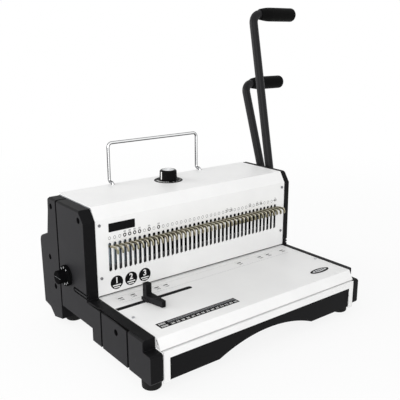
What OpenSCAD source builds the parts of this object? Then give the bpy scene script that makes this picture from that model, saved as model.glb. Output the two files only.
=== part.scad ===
// Desktop wire binding machine with a long punching lever and a short closing lever.
// X runs along the row of slots, +Y runs to the rear, Z = 0 is the desk.
// Y = 0 is the slotted front face and X = 0 is the middle of the row of slots.

/* [Overall] */
// Height of the table top above the desk
table_h = 75; // [73:1:80]
// Clear width between the two side covers
body_w = 375; // [374:1:385]
// Height of the head above the table
head_h = 134.8; // [133:0.1:140]
// Depth of the flat top of the head
head_depth = 115; // [114:1:118]
// Depth of the flat table in front of the slotted face
table_depth = 152; // [150:1:154]
// Thickness of the left side cover
left_cover_t = 19; // [15:1:20]
// Thickness of the right side cover
right_cover_t = 10; // [9:0.5:11]

/* [Sheet and plate] */
// Thickness of the painted sheet
sheet_t = 1.5; // [1.2:0.1:1.8]
// Thickness of the steel side plates
plate_t = 4; // [3:0.5:4.5]
// Wall of the plastic covers
cover_wall = 3; // [2.6:0.1:3.4]

/* [Slots, hooks and pins] */
// Number of slots, hooks and punch pins
slot_count = 40; // [30:2:40]
// Distance from one slot to the next
slot_pitch = 8.467; // [8:0.001:8.467]
// Width of a slot
slot_w = 4.8; // [4:0.1:5.2]
// Height of the lower end of the slots above the table
slot_low = 36.1; // [35:0.1:38]
// Height of the upper end of the slots above the table
slot_high = 80.5; // [80:0.1:82]
// Thickness of a hook
hook_t = 2; // [1.6:0.1:2.4]
// How far a hook stands out of the slotted face
hook_reach = 25; // [23:0.5:27]
// Diameter of a punch pin
pin_d = 4; // [3.6:0.1:4.4]

/* [Levers] */
// Diameter of the lever bars
bar_d = 15.2; // [13:0.1:15.8]
// Diameter of the rubber grips
grip_d = 24.8; // [22:0.1:26]
// Length of the rubber grip on the punch lever
grip_len = 86; // [80:1:95]
// Length of the rubber grip on the closing lever
closing_grip_len = 80; // [74:1:88]
// Diameter of the lever shafts
shaft_d = 14; // [12:0.5:14.5]
// Distance from the punch pivot to its grip
punch_arm_len = 371; // [343:1:375]
// Distance from the closing pivot to its grip
closing_arm_len = 196.5; // [185:0.1:203]
// Lean of the punch lever behind upright
punch_lean = 11.1; // [8:0.1:13]
// Lean of the closing lever behind upright
closing_lean = 18.2; // [15:0.1:20]

/* [Knobs and rack] */
// Diameter of the knob on top
dial_d = 30; // [26:0.5:31]
// Height of the knob on top
dial_h = 15.9; // [13:0.1:20]
// Diameter of the knurled rim of the knob on the left side
size_knob_d = 32; // [28:0.5:34]
// Diameter of the boss of the knob on the left side
size_boss_d = 20.5; // [18:0.5:24]
// Length of the knob on the left side
size_knob_len = 17; // [14:0.5:18]
// Diameter of the rack wire
wire_d = 5; // [4:0.1:5.4]
// Height of the rack above the head
rack_h = 66; // [55:1:72]

/* [Hidden] */
$fn = 48;

white_paint = [0.93, 0.93, 0.92];
black_plastic = [0.13, 0.13, 0.14];
rubber = [0.07, 0.07, 0.07];
steel = [0.62, 0.63, 0.65];
bright = [0.85, 0.86, 0.88];
bronze = [0.72, 0.52, 0.28];
plated = [0.72, 0.66, 0.46];

// Gaps: running fits, bodies that pass each other, and flat sliding faces
run_fit = 0.05;
pass_gap = 0.6;
slide_gap = 0.4;

// Levels, measured from the table top
base_drop = 55;
cover_raise = 36;
floor_t = 2;
plate_low = -base_drop + 4;
throat_h = 4;
die_t = 12;
stripper_t = 6;
ram_low = 30;
ram_high = 50;
bridge_t = 8;
bridge_low = head_h - 20;

// Places across the width
half_w = body_w / 2;
plate_in = half_w - plate_t;
row_half = (slot_count - 1) / 2 * slot_pitch;
rod_x = plate_in - 9.5;
rod_r = 4;
lug_half = 5.5;
panel_screw_x = half_w - 6.8;
table_screw_y = 67 - table_depth;
head_screw_zs = [29.2, head_h - 26];

// Lines along the depth
hook_rod_y = 12;
ram_rod_y = 27;
pin_y = 16;
hook_bar_y0 = 3;
hook_bar_y1 = 8.5;
ram_y0 = 10.5;
ram_y1 = 24;
die_y0 = 3;
die_y1 = 36;

// Lever pivots, pinions and racks
shaft_r = shaft_d / 2;
punch_y = 47;
punch_z = 40;
punch_pitch_r = 10.5;
punch_teeth = 15;
punch_pinion_x = 150;
closing_y = 93.9;
closing_z = 90;
closing_pitch_r = 18;
closing_teeth = 24;
closing_pinion_x = 125;
gear_w = 12;
bend_r = 17;
hub_in = half_w + right_cover_t + 2;
punch_arm_x = hub_in + 12.5;
closing_arm_x = punch_arm_x + 16.4;

// Side cover seams and screws, as places in depth and height
left_seam = 85;
right_seam = 72;
seam_gap = 4.4;
left_dip = 2.8;
right_dip = -0.4;
shelf_h = 0.9;
groove_ys = [111 - table_depth, 41 - table_depth];
groove_w = 4;
groove_deep = 2.2;
level_groove_z = 6.8;
level_groove_end = 36;
front_cover_screws = [[12.5, head_h - 16.5], [70 - table_depth, -14.8]];
rear_cover_screws = [[head_depth - 12, head_h - 16], [head_depth + 3, 33.8], [head_depth - 11, -11.2]];
screw_r = 2;
panel_screw_r = 1.2;
screw_seat = 7;

// Feet
foot_h = table_h - base_drop;
foot_r = 13.8;
foot_recess = 10;
foot_screw_r = 2.5;
foot_left_x = -half_w + 0.5;
foot_right_x = half_w - 3.7;
foot_front_y = 15 - table_depth;
foot_rear_y = head_depth - 8;
foot_rear_in = 10;
bracket_in = 156;
pan_y0 = -40;
pan_y1 = foot_rear_y - 14;
foot_places = [
    [foot_left_x, foot_front_y], [foot_left_x + foot_rear_in, foot_rear_y],
    [foot_right_x, foot_front_y], [foot_right_x - foot_rear_in, foot_rear_y]
];

// Wire rack
rack_mid = -6;
rack_half = 89;
rack_bend_r = 4;
rack_y = head_depth + 5;
rack_foot_y = head_depth - 6;

// Hook bar
hook_crown = slot_high - 1.3;
bar_low = hook_crown - 34;
bar_high = hook_crown + 20;
lug_low = hook_crown - 2.5;
hook_spring_z = hook_crown + 4;
hook_spring_x = 60;
punch_spring_x = 110;

// Knobs
dial_x = -6;
dial_y = 80;
spindle_r = 4;
dial_plate_t = 0.8;
cam_r = 12;
cam_rise = 4 / 270;
size_y = 58;
size_z = 22.5;
size_rim_t = 5;
wedge_x0 = -140;
wedge_x1 = -115;
wedge_rod_y = 70;
wedge_rod_r = 3;

// Side guide and chip tray
guide_slot_y0 = -52.8;
guide_slot_y1 = -46.2;
guide_slot_end = -60;
guide_x0 = -140.5;
guide_x1 = -126.5;
tray_y0 = -11;
tray_y1 = 67;
tray_z0 = -base_drop + floor_t + slide_gap;
tray_z1 = -cover_raise - 0.5;

// Apron and fascia
apron_y = -table_depth - 11;
apron_t = 2;
fascia_t = 3;
arch_half = 91.5;
arch_rise = 18.8;
arch_r = (arch_half * arch_half + arch_rise * arch_rise) / (2 * arch_rise);
fascia_low = -59.3;
left_nose = 13.5;
right_nose = 11.3;
lip_low = -14.5;

// Back of the machine
back_y = head_depth + 36.5;
bulge_h = 63.4;

// Unit normal to the left of the edge from a to b
function left_normal(a, b) = [a[1] - b[1], b[0] - a[0]] / norm(b - a);

// Corner p moved to the left of its two edges by t
function corner(p, n0, n1, t) = p + (n0 + n1) * (2 * t / ((n0 + n1) * (n0 + n1)));

// Closed outline, counter-clockwise, drawn in by t
function inset(pts, t) = [
    for (i = [0 : len(pts) - 1])
        let (before = pts[(i + len(pts) - 1) % len(pts)], after = pts[(i + 1) % len(pts)])
            corner(pts[i], left_normal(before, pts[i]), left_normal(pts[i], after), t)
];

// Open path moved to its left by t
function beside(path, t) = [
    for (i = [0 : len(path) - 1])
        let (
            last = len(path) - 1,
            n1 = left_normal(path[min(i, last - 1)], path[min(i, last - 1) + 1]),
            n0 = left_normal(path[max(i, 1) - 1], path[max(i, 1)])
        )
            corner(path[i], n0, n1, t)
];

// Bent strip of thickness t along an open path
function strip(path, t) =
    let (inner = beside(path, t))
        concat(path, [for (i = [len(path) - 1 : -1 : 0]) inner[i]]);

// Points on a round stretch
function arc(centre, r, from, to, steps = 10) = [
    for (i = [0 : steps])
        let (a = from + (to - from) * i / steps)
            centre + r * [cos(a), sin(a)]
];

module on_table() {
    translate([0, 0, table_h])
        children();
}

module box(x0, x1, y0, y1, z0, z1) {
    translate([x0, y0, z0])
        cube([x1 - x0, y1 - y0, z1 - z0]);
}

// Outline in depth and height, drawn out from x0 to x1
module side_prism(x0, x1, pts) {
    translate([x0, 0, 0])
        rotate([90, 0, 90])
            linear_extrude(x1 - x0)
                polygon(pts);
}

module x_rod(x0, x1, y, z, r) {
    translate([x0, y, z])
        rotate([0, 90, 0])
            cylinder(h = x1 - x0, r = r);
}

module y_rod(x, y0, y1, z, r) {
    translate([x, y0, z])
        rotate([-90, 0, 0])
            cylinder(h = y1 - y0, r = r);
}

module z_rod(x, y, z0, z1, r) {
    translate([x, y, z0])
        cylinder(h = z1 - z0, r = r);
}

// Pan-head screw with a cross recess, head up, seat at the origin
module screw(r, length) {
    head_h = 1.2 * r;
    difference() {
        union() {
            translate([0, 0, -length])
                cylinder(h = length, r = r);
            cylinder(h = head_h, r = 1.8 * r);
        }
        for (turn = [0, 90])
            rotate([0, 0, turn])
                box(-1.1 * r, 1.1 * r, -0.22 * r, 0.22 * r, 0.5 * head_h, 2 * head_h);
    }
}

// Spur pinion about the Z axis, one tooth gap centred on the +X side
module pinion(pitch_r, teeth, width, bore_r) {
    m = 2 * pitch_r / teeth;
    step = 360 / teeth;
    root_r = pitch_r - 1.25 * m;
    tip_r = pitch_r + 0.8 * m;
    difference() {
        linear_extrude(width)
            polygon([
                for (i = [0 : teeth - 1])
                    for (p = [[root_r, -0.34], [pitch_r, -0.19], [tip_r, -0.08],
                              [tip_r, 0.08], [pitch_r, 0.19], [root_r, 0.34]])
                        let (a = (i + 0.5 + p[1]) * step)
                            p[0] * [cos(a), sin(a)]
            ]);
        translate([0, 0, -1])
            cylinder(h = width + 2, r = bore_r);
    }
}

// Rack outline: teeth point along +Y from the pitch line at y, one tooth at height z_mesh
function rack_outline(y, z_mesh, below, above, back, m) =
    let (pitch = PI * m)
        concat(
            [[back, z_mesh - (below + 0.5) * pitch], [y - 1.1 * m, z_mesh - (below + 0.5) * pitch]],
            [
                for (i = [-below : above])
                    for (p = [[-1.1, -0.27], [0, -0.19], [0.8, -0.11], [0.8, 0.11], [0, 0.19], [-1.1, 0.27]])
                        [y + p[0] * m, z_mesh + (i + p[1]) * pitch]
            ],
            [[y - 1.1 * m, z_mesh + (above + 0.5) * pitch], [back, z_mesh + (above + 0.5) * pitch]]
        );

// Coil spring along Z as one unbroken tube
module coil(coil_r, wire_r, length, turns) {
    rings = 8 * turns;
    sides = 6;
    rise = (length - 2 * wire_r) / rings;
    points = [
        for (i = [0 : rings])
            for (j = [0 : sides - 1])
                let (a = i * 45, b = j * 360 / sides, r = coil_r + wire_r * cos(b))
                    [r * cos(a), r * sin(a), wire_r + i * rise + wire_r * sin(b)]
    ];
    faces = concat(
        [[for (j = [0 : sides - 1]) j]],
        [
            for (i = [0 : rings - 1])
                for (j = [0 : sides - 1])
                    let (k = (j + 1) % sides, a = i * sides, b = a + sides)
                        for (f = [[a + j, b + j, b + k], [a + j, b + k, a + k]])
                            f
        ],
        [[for (j = [sides - 1 : -1 : 0]) rings * sides + j]]
    );
    polyhedron(points, faces);
}

// Frame

module base_pan() {
    color(steel)
        on_table()
            union() {
                box(-plate_in, plate_in, pan_y0, pan_y1, -base_drop, -base_drop + floor_t);
                for (y = [tray_y0 - 3, tray_y1 + 1])
                    box(-plate_in, plate_in, y, y + 2, -base_drop, -46);
                for (x = [-plate_in, plate_in - 2])
                    for (y = [[pan_y0, -16], [72, pan_y1]])
                        box(x, x + 2, y[0], y[1], -base_drop, -43);
            }
}

// Plate outline, inside the sheet and the covers
function plate_outline() = [
    [apron_y + apron_t, plate_low], [-16, plate_low], [-16, 1 - cover_raise], [72, 1 - cover_raise],
    [72, plate_low], [back_y - 22, plate_low], [back_y - 22, bulge_h - 2], [head_depth + 2, bulge_h + 4],
    [head_depth - 4, head_h - sheet_t], [13, head_h - sheet_t], [hook_bar_y0, head_h - 19],
    [hook_bar_y0, -sheet_t], [-table_depth + 9, -sheet_t], [-table_depth + 9, -20], [-table_depth - 6, -24],
    [apron_y + apron_t, -24]
];

// Side plate on the +X side, with its front flange and screw lugs
module side_plate() {
    difference() {
        union() {
            side_prism(plate_in, half_w, plate_outline());
            box(half_w - 9.5, half_w, apron_y + apron_t, -table_depth - 6, plate_low, -24);
            for (z = head_screw_zs)
                box(plate_in - 8.5, plate_in, sheet_t, 7, z - 5, z + 5);
            box(plate_in - 5.5, plate_in, table_screw_y - 5, table_screw_y + 5, -10, -sheet_t);
        }
        x_rod(plate_in - 1, half_w + 1, punch_y, punch_z, shaft_r + 2.5);
        x_rod(plate_in - 1, half_w + 1, closing_y, closing_z, shaft_r + 2.5);
        for (p = concat(front_cover_screws, rear_cover_screws))
            x_rod(plate_in - 1, half_w + 1, p[0], p[1], screw_r);
        for (z = head_screw_zs)
            y_rod(panel_screw_x, 0, 8, z, panel_screw_r);
        z_rod(panel_screw_x, table_screw_y, -11, 0, panel_screw_r);
    }
}

module left_side_plate() {
    color(steel)
        on_table()
            difference() {
                mirror([1, 0, 0])
                    side_plate();
                x_rod(-half_w - 1, -plate_in + 1, size_y, size_z, spindle_r + run_fit);
            }
}

module right_side_plate() {
    color(steel)
        on_table()
            side_plate();
}

module foot_brackets() {
    color(steel)
        on_table()
            for (p = foot_places)
                difference() {
                    box(p[0] < 0 ? min(p[0] - 10, -half_w) : bracket_in,
                        p[0] < 0 ? -bracket_in : max(p[0] + 10, half_w),
                        p[1] - 12, p[1] + 12, -base_drop, plate_low);
                    z_rod(p[0], p[1], -base_drop - 1, plate_low + 1, foot_screw_r);
                }
}

module rubber_feet() {
    color(rubber)
        for (p = foot_places)
            translate([p[0], p[1], 0])
                rotate_extrude()
                    polygon([
                        [foot_screw_r, foot_recess], [5.5, foot_recess], [5.5, 0], [foot_r - 2, 0],
                        [foot_r - 0.6, 1.4], [foot_r, foot_h - 2], [foot_r - 1, foot_h],
                        [foot_screw_r, foot_h]
                    ]);
}

module foot_screws() {
    color(steel)
        for (p = foot_places)
            translate([p[0], p[1], foot_recess])
                rotate([180, 0, 0])
                    screw(foot_screw_r, foot_h - foot_recess + 4);
}

module front_tie_bar() {
    color(steel)
        on_table()
            box(-plate_in, plate_in, -table_depth + 12, -table_depth + 22, -14, -sheet_t);
}

module top_bridge() {
    color(steel)
        on_table()
            difference() {
                box(-plate_in, plate_in, 7.5, die_y1, bridge_low, bridge_low + bridge_t);
                for (x = [-rod_x, rod_x])
                    for (y = [hook_rod_y, ram_rod_y])
                        z_rod(x, y, bridge_low - 1, bridge_low + bridge_t + 1, rod_r);
            }
}

// White sheet pieces

module paper_table() {
    path = [[die_y0, 0], [-table_depth, 0], [-table_depth - 8, lip_low]];
    color(white_paint)
        on_table()
            difference() {
                union() {
                    side_prism(-half_w + 0.5, half_w - 0.5, strip(path, sheet_t));
                    for (x = [-half_w + 0.5, half_w - 0.5 - sheet_t])
                        side_prism(x, x + sheet_t, [
                            [-table_depth - 7, lip_low], [-table_depth + 7, lip_low],
                            [-table_depth + 7, -0.5 * sheet_t], [-table_depth, -0.5 * sheet_t]
                        ]);
                }
                box(-half_w, half_w, 0.5, die_y0 + 1, -3, -0.01 - sheet_t);
                for (x = [-half_w, half_w - 3])
                    side_prism(x, x + 3, [
                        [-table_depth + 2.6, -2.6], [-table_depth - 1, -8.6],
                        [-table_depth - 2.9, -8.6], [-table_depth + 0.4, -2.6]
                    ]);
                box(-half_w + 1.5, guide_slot_end, guide_slot_y0, guide_slot_y1, -3, 1);
                z_rod(guide_slot_end, (guide_slot_y0 + guide_slot_y1) / 2, -3, 1,
                    (guide_slot_y1 - guide_slot_y0) / 2);
                for (x = [-panel_screw_x, panel_screw_x])
                    z_rod(x, table_screw_y, -3, 1, panel_screw_r);
            }
}

module table_screws() {
    color(bright)
        on_table()
            for (x = [-panel_screw_x, panel_screw_x])
                translate([x, table_screw_y, 0])
                    screw(panel_screw_r, 8);
}

module front_apron() {
    color(white_paint)
        on_table()
            difference() {
                union() {
                    box(-half_w + 2.5, half_w - 1.5, apron_y, apron_y + apron_t, fascia_low - 1.5, lip_low - 1.5);
                    box(-half_w + 2.5, half_w - 1.5, apron_y, -table_depth - 5, lip_low - 3, lip_low - 1.5);
                }
                box(-half_w + 12.7, half_w - 10.2, apron_y - 1, apron_y + apron_t + 1,
                    fascia_low - 3, lip_low - 12);
            }
}

module front_fascia() {
    color(black_plastic)
        on_table()
            difference() {
                box(-half_w + 10, half_w - 9.6, apron_y + apron_t, apron_y + apron_t + fascia_t,
                    fascia_low, lip_low - 10);
                y_rod(0, apron_y, apron_y + 10, fascia_low + arch_rise - arch_r, arch_r, $fn = 160);
            }
}

module head_cover() {
    path = [[head_depth + 6.5, bulge_h + 6], [head_depth, head_h], [11, head_h], [0, head_h - 18], [0, 2.5]];
    color(white_paint)
        on_table()
            difference() {
                side_prism(-half_w + 0.5, half_w - 0.5, strip(path, sheet_t));
                for (i = [0 : slot_count - 1]) {
                    x = -row_half + i * slot_pitch;
                    box(x - slot_w / 2, x + slot_w / 2, -1, sheet_t + 1,
                        slot_low + slot_w / 2, slot_high - slot_w / 2);
                    y_rod(x, -1, sheet_t + 1, slot_low + slot_w / 2, slot_w / 2, $fn = 24);
                    y_rod(x, -1, sheet_t + 1, slot_high - slot_w / 2, slot_w / 2, $fn = 24);
                }
                for (x = [-panel_screw_x, panel_screw_x])
                    for (z = head_screw_zs)
                        y_rod(x, -1, sheet_t + 1, z, panel_screw_r);
                for (x = [rack_mid - rack_half, rack_mid + rack_half])
                    z_rod(x, rack_foot_y, head_h - 3, head_h + 1, wire_d / 2);
                z_rod(dial_x, dial_y, head_h - 3, head_h + 1, spindle_r + pass_gap);
            }
}

module head_screws() {
    color(bright)
        on_table()
            for (x = [-panel_screw_x, panel_screw_x])
                for (z = head_screw_zs)
                    translate([x, 0, z])
                        rotate([90, 0, 0])
                            screw(panel_screw_r, 6.5);
}

// Side covers

// Outline of the front piece of a side cover, ending at its seam
function front_outline(seam, nose, dip) =
    let (end = seam - seam_gap / 2, front = -table_depth - nose, step = -table_depth + 4)
        concat(
            [[front + 2, -base_drop], [-14, -base_drop], [-14, -cover_raise], [end, -cover_raise]],
            [[end, head_h - dip], [11.4 + 0.75 * dip, head_h - dip], [-1, head_h - 18.4], [-1, shelf_h]],
            [[step, shelf_h], [step, lip_low - 0.5], [front + 2.5, lip_low - 1]],
            [[front, lip_low - 3], [front, 2.5 - base_drop]]
        );

// Outline of the rear piece of a side cover, starting at its seam
function rear_outline(seam, dip) =
    let (start = seam + seam_gap / 2)
        concat(
            start < 78 ? [[start, -cover_raise], [78, -cover_raise], [78, -60]] : [[start, -61]],
            [[head_depth, -base_drop - 12], [back_y - 22, -base_drop], [back_y - 1.5, 3 - base_drop]],
            [[back_y, bulge_h - 10], [back_y - 2.5, bulge_h - 3.5], [back_y - 7.5, bulge_h]],
            [[head_depth + 7, bulge_h + 9], [head_depth, head_h - 26], [head_depth - 1.5, head_h - 7]],
            [[head_depth - 4.5, head_h - dip], [start, head_h - dip]]
        );

// Bevel along the upper outer edge of a cover piece
module edge_bevel(t, y0, y1, z) {
    translate([-t, y1, z])
        rotate([90, 0, 0])
            linear_extrude(y1 - y0)
                polygon([[-1, -3.5], [3.5, 1], [-1, 1]]);
}

// Hollow cover piece with its inner face at x = 0 and its outer face at x = -t
module cover_piece(t, outline, screws, dip) {
    difference() {
        union() {
            difference() {
                side_prism(-t, 0, outline);
                side_prism(cover_wall - t, 1, inset(outline, cover_wall));
            }
            for (p = screws)
                x_rod(-t, 0, p[0], p[1], 7);
        }
        for (p = screws) {
            x_rod(-t - 1, -screw_seat, p[0], p[1], 4.6);
            x_rod(-t - 1, 1, p[0], p[1], screw_r);
        }
        edge_bevel(t, -2, head_depth + 1, head_h - dip);
    }
}

// Level slot with a round rear end, open to the front
module level_slot(x0, x1, r) {
    box(x0, x1, -2, level_groove_end, level_groove_z - r, level_groove_z + r);
    x_rod(x0, x1, level_groove_end, level_groove_z, r);
}

// Grooves in the outer face, and room for the foot brackets
module cover_cuts(t) {
    for (y = groove_ys)
        box(-t - 1, -t + groove_deep, y - groove_w / 2, y + groove_w / 2, -base_drop - 1, shelf_h + 1);
    difference() {
        level_slot(-t - 1, -t + groove_deep, groove_w);
        level_slot(-t - 2, -t + groove_deep + 1, groove_w / 3);
    }
    box(-t + cover_wall, 1, foot_front_y - 13, foot_front_y + 13, -base_drop - 1, plate_low + 1);
}

module front_cover(t, seam, nose, dip) {
    difference() {
        cover_piece(t, front_outline(seam, nose, dip), front_cover_screws, dip);
        cover_cuts(t);
        edge_bevel(t, -table_depth, -1, shelf_h);
    }
}

module rear_cover(t, seam, dip) {
    difference() {
        union() {
            cover_piece(t, rear_outline(seam, dip), rear_cover_screws, dip);
            box(-t + cover_wall + 1.5, 0, seam - seam_gap / 2, seam + seam_gap / 2 + 1,
                -cover_raise + 1, head_h - 5.5);
        }
        box(-t + cover_wall, 1, foot_rear_y - foot_r - 0.8, foot_rear_y + foot_r + 0.8, -80, plate_low + 1);
    }
}

module left_front_cover() {
    color(black_plastic)
        on_table()
            difference() {
                translate([-half_w, 0, 0])
                    front_cover(left_cover_t, left_seam, left_nose, left_dip);
                x_rod(-half_w - left_cover_t - 1, -half_w + 1, size_y, size_z, spindle_r + pass_gap);
            }
}

module left_rear_cover() {
    color(black_plastic)
        on_table()
            translate([-half_w, 0, 0])
                rear_cover(left_cover_t, left_seam, left_dip);
}

module right_front_cover() {
    color(black_plastic)
        on_table()
            difference() {
                mirror([1, 0, 0])
                    translate([-half_w, 0, 0])
                        front_cover(right_cover_t, right_seam, right_nose, right_dip);
                x_rod(half_w - 1, half_w + right_cover_t + 1, punch_y, punch_z, shaft_r + pass_gap);
            }
}

module right_rear_cover() {
    color(black_plastic)
        on_table()
            difference() {
                mirror([1, 0, 0])
                    translate([-half_w, 0, 0])
                        rear_cover(right_cover_t, right_seam, right_dip);
                x_rod(half_w - 1, half_w + right_cover_t + 1, closing_y, closing_z, shaft_r + pass_gap);
            }
}

module cover_screws() {
    color(steel)
        on_table()
            for (side = [-1, 1])
                for (p = concat(front_cover_screws, rear_cover_screws))
                    translate([side * (half_w + screw_seat), p[0], p[1]])
                        rotate([0, side * 90, 0])
                            screw(screw_r, screw_seat + plate_t);
}

module rear_housing() {
    path = [[back_y - 22, -base_drop], [back_y - 1.5, 3 - base_drop], [back_y, bulge_h - 10],
            [back_y - 2.5, bulge_h - 3.5], [back_y - 7.5, bulge_h], [head_depth + 4, bulge_h + 5.4]];
    color(black_plastic)
        on_table()
            side_prism(-half_w, half_w, strip(path, 2));
}

// Wire rack

// Quarter bend in the YZ plane about a centre, from one angle over 90 degrees
module wire_bend(x, y, z, r, from) {
    translate([x, y, z])
        rotate([90, 0, 90])
            rotate([0, 0, from])
                rotate_extrude(angle = 90)
                    translate([r, 0])
                        circle(r = wire_d / 2);
}

module wire_rack() {
    r = wire_d / 2;
    low = head_h + r + 0.5;
    top = head_h + rack_h;
    color(bright)
        on_table()
            union() {
                for (x = [rack_mid - rack_half, rack_mid + rack_half]) {
                    z_rod(x, rack_foot_y, head_h - 10, low - rack_bend_r, r);
                    wire_bend(x, rack_foot_y + rack_bend_r, low - rack_bend_r, rack_bend_r, 90);
                    y_rod(x, rack_foot_y + rack_bend_r, rack_y - rack_bend_r, low, r);
                    wire_bend(x, rack_y - rack_bend_r, low + rack_bend_r, rack_bend_r, 270);
                    z_rod(x, rack_y, low + rack_bend_r, top - 7, r);
                }
                for (side = [-1, 1])
                    translate([rack_mid + side * (rack_half - 7), rack_y, top - 7])
                        rotate([90, 0, 0])
                            rotate([0, 0, side > 0 ? 0 : 90])
                                rotate_extrude(angle = 90)
                                    translate([7, 0])
                                        circle(r = r);
                x_rod(rack_mid + 7 - rack_half, rack_mid + rack_half - 7, rack_y, top, r);
            }
}

// Punch block

module pin_holes(z0, z1) {
    for (i = [0 : slot_count - 1])
        z_rod(-row_half + i * slot_pitch, pin_y, z0, z1, pin_d / 2 + run_fit, $fn = 24);
}

module die_plate() {
    color(steel)
        on_table()
            difference() {
                box(-plate_in, plate_in, die_y0, die_y1, -die_t, 0);
                pin_holes(-die_t - 1, 1);
            }
}

module stripper_plate() {
    color(steel)
        on_table()
            difference() {
                box(-plate_in, plate_in, die_y0 + 1, die_y1, throat_h, throat_h + stripper_t);
                pin_holes(throat_h - 1, throat_h + stripper_t + 1);
            }
}

module rods(y) {
    for (x = [-rod_x, rod_x])
        z_rod(x, y, throat_h + stripper_t, bridge_low + bridge_t, rod_r);
}

module ram_rods() {
    color(bright)
        on_table()
            rods(ram_rod_y);
}

module hook_rods() {
    color(bright)
        on_table()
            rods(hook_rod_y);
}

module shaft_bushes() {
    color(bronze)
        on_table()
            for (side = [0, 1])
                mirror([side, 0, 0])
                    for (p = [[punch_y, punch_z], [closing_y, closing_z]])
                        difference() {
                            union() {
                                x_rod(plate_in - 2, half_w, p[0], p[1], shaft_r + 2.5);
                                x_rod(plate_in - 2, plate_in, p[0], p[1], shaft_r + 5);
                            }
                            x_rod(plate_in - 3, half_w + 1, p[0], p[1], shaft_r + run_fit);
                        }
}

module punch_springs() {
    color(steel)
        on_table()
            for (x = [-punch_spring_x, punch_spring_x])
                translate([x, (ram_y0 + ram_y1) / 2, ram_high])
                    coil(4.5, 0.8, bridge_low - ram_high, 9);
}

module hook_springs() {
    color(steel)
        on_table()
            for (x = [-hook_spring_x, hook_spring_x])
                translate([x, 15, hook_spring_z])
                    coil(3.6, 0.7, bridge_low - hook_spring_z, 8);
}

// Punch lever and ram

// Bent lever bar in its upright pose, hub on the X axis, grip stub along +X
module lever_arm(length, hub_r, hub_x0, grip) {
    r = bar_d / 2;
    difference() {
        union() {
            x_rod(hub_x0, r, 0, 0, hub_r);
            cylinder(h = length - bend_r, r = r);
            translate([bend_r, 0, length - bend_r])
                rotate([90, 0, 0])
                    rotate([0, 0, 90])
                        rotate_extrude(angle = 90)
                            translate([bend_r, 0])
                                circle(r = r);
            x_rod(bend_r, bend_r + grip - 5, 0, length, r);
        }
        x_rod(hub_x0 - 1, r + 1, 0, 0, shaft_r);
    }
}

// Rubber grip over the stub, with a rounded outer end
module lever_grip(length, grip) {
    r = grip_d / 2;
    translate([bend_r, 0, length])
        rotate([0, 90, 0])
            rotate_extrude()
                polygon(concat(
                    [[bar_d / 2, 0], [bar_d / 2 + 1.2, 0], [bar_d / 2 + 2.1, 0.9]],
                    [[r - 1.7, 7], [r - 0.8, 13], [r - 0.2, 19], [r, 25]],
                    arc([r - 7, grip - 7], 7, 0, 90, 6),
                    [[0, grip], [0, grip - 5], [bar_d / 2, grip - 5]]
                ));
}

module at_punch() {
    translate([punch_arm_x, punch_y, table_h + punch_z])
        rotate([-punch_lean, 0, 0])
            children();
}

module at_closing() {
    translate([closing_arm_x, closing_y, table_h + closing_z])
        rotate([-closing_lean, 0, 0])
            children();
}

module punch_arm() {
    color(black_plastic)
        at_punch()
            lever_arm(punch_arm_len, 15, hub_in - punch_arm_x, grip_len);
}

module punch_grip() {
    color(rubber)
        at_punch()
            lever_grip(punch_arm_len, grip_len);
}

module punch_shaft() {
    color(steel)
        on_table()
            x_rod(-half_w + 0.5, punch_arm_x + bar_d / 2, punch_y, punch_z, shaft_r);
}

// Pinions on a shaft, with a tooth gap facing the rack in front of the shaft
module pinion_pair(x, y, z, pitch_r, teeth) {
    for (side = [-1, 1])
        translate([side * x - gear_w / 2, y, z])
            rotate([90, 0, 90])
                rotate([0, 0, 180])
                    pinion(pitch_r, teeth, gear_w, shaft_r);
}

module punch_pinions() {
    color(steel)
        on_table()
            pinion_pair(punch_pinion_x, punch_y, punch_z, punch_pitch_r, punch_teeth);
}

module punch_ram() {
    color(steel)
        on_table()
            difference() {
                union() {
                    box(-row_half - 2, row_half + 2, ram_y0, ram_y1, ram_low, ram_high);
                    for (side = [0, 1])
                        mirror([side, 0, 0])
                            box(row_half - 5, rod_x + lug_half, ram_rod_y - 6.5, ram_rod_y + 6.5,
                                ram_low, ram_high);
                }
                for (x = [-rod_x, rod_x])
                    z_rod(x, ram_rod_y, ram_low - 1, ram_high + 1, rod_r + run_fit);
            }
}

module punch_pins() {
    color(bright)
        on_table()
            for (i = [0 : slot_count - 1])
                z_rod(-row_half + i * slot_pitch, pin_y, throat_h + 1, ram_low, pin_d / 2, $fn = 24);
}

module punch_racks() {
    m = 2 * punch_pitch_r / punch_teeth;
    color(steel)
        on_table()
            for (x = [-punch_pinion_x, punch_pinion_x])
                side_prism(x - gear_w / 2, x + gear_w / 2,
                    rack_outline(punch_y - punch_pitch_r, punch_z, 2, 5, ram_y1, m));
}

// Closing lever and hook bar

module closing_arm() {
    color(black_plastic)
        at_closing()
            lever_arm(closing_arm_len, 13, hub_in - closing_arm_x, closing_grip_len);
}

module closing_grip() {
    color(rubber)
        at_closing()
            lever_grip(closing_arm_len, closing_grip_len);
}

module closing_shaft() {
    color(steel)
        on_table()
            x_rod(-half_w + 0.5, closing_arm_x + bar_d / 2, closing_y, closing_z, shaft_r);
}

module closing_pinions() {
    color(steel)
        on_table()
            pinion_pair(closing_pinion_x, closing_y, closing_z, closing_pitch_r, closing_teeth);
}

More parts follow.
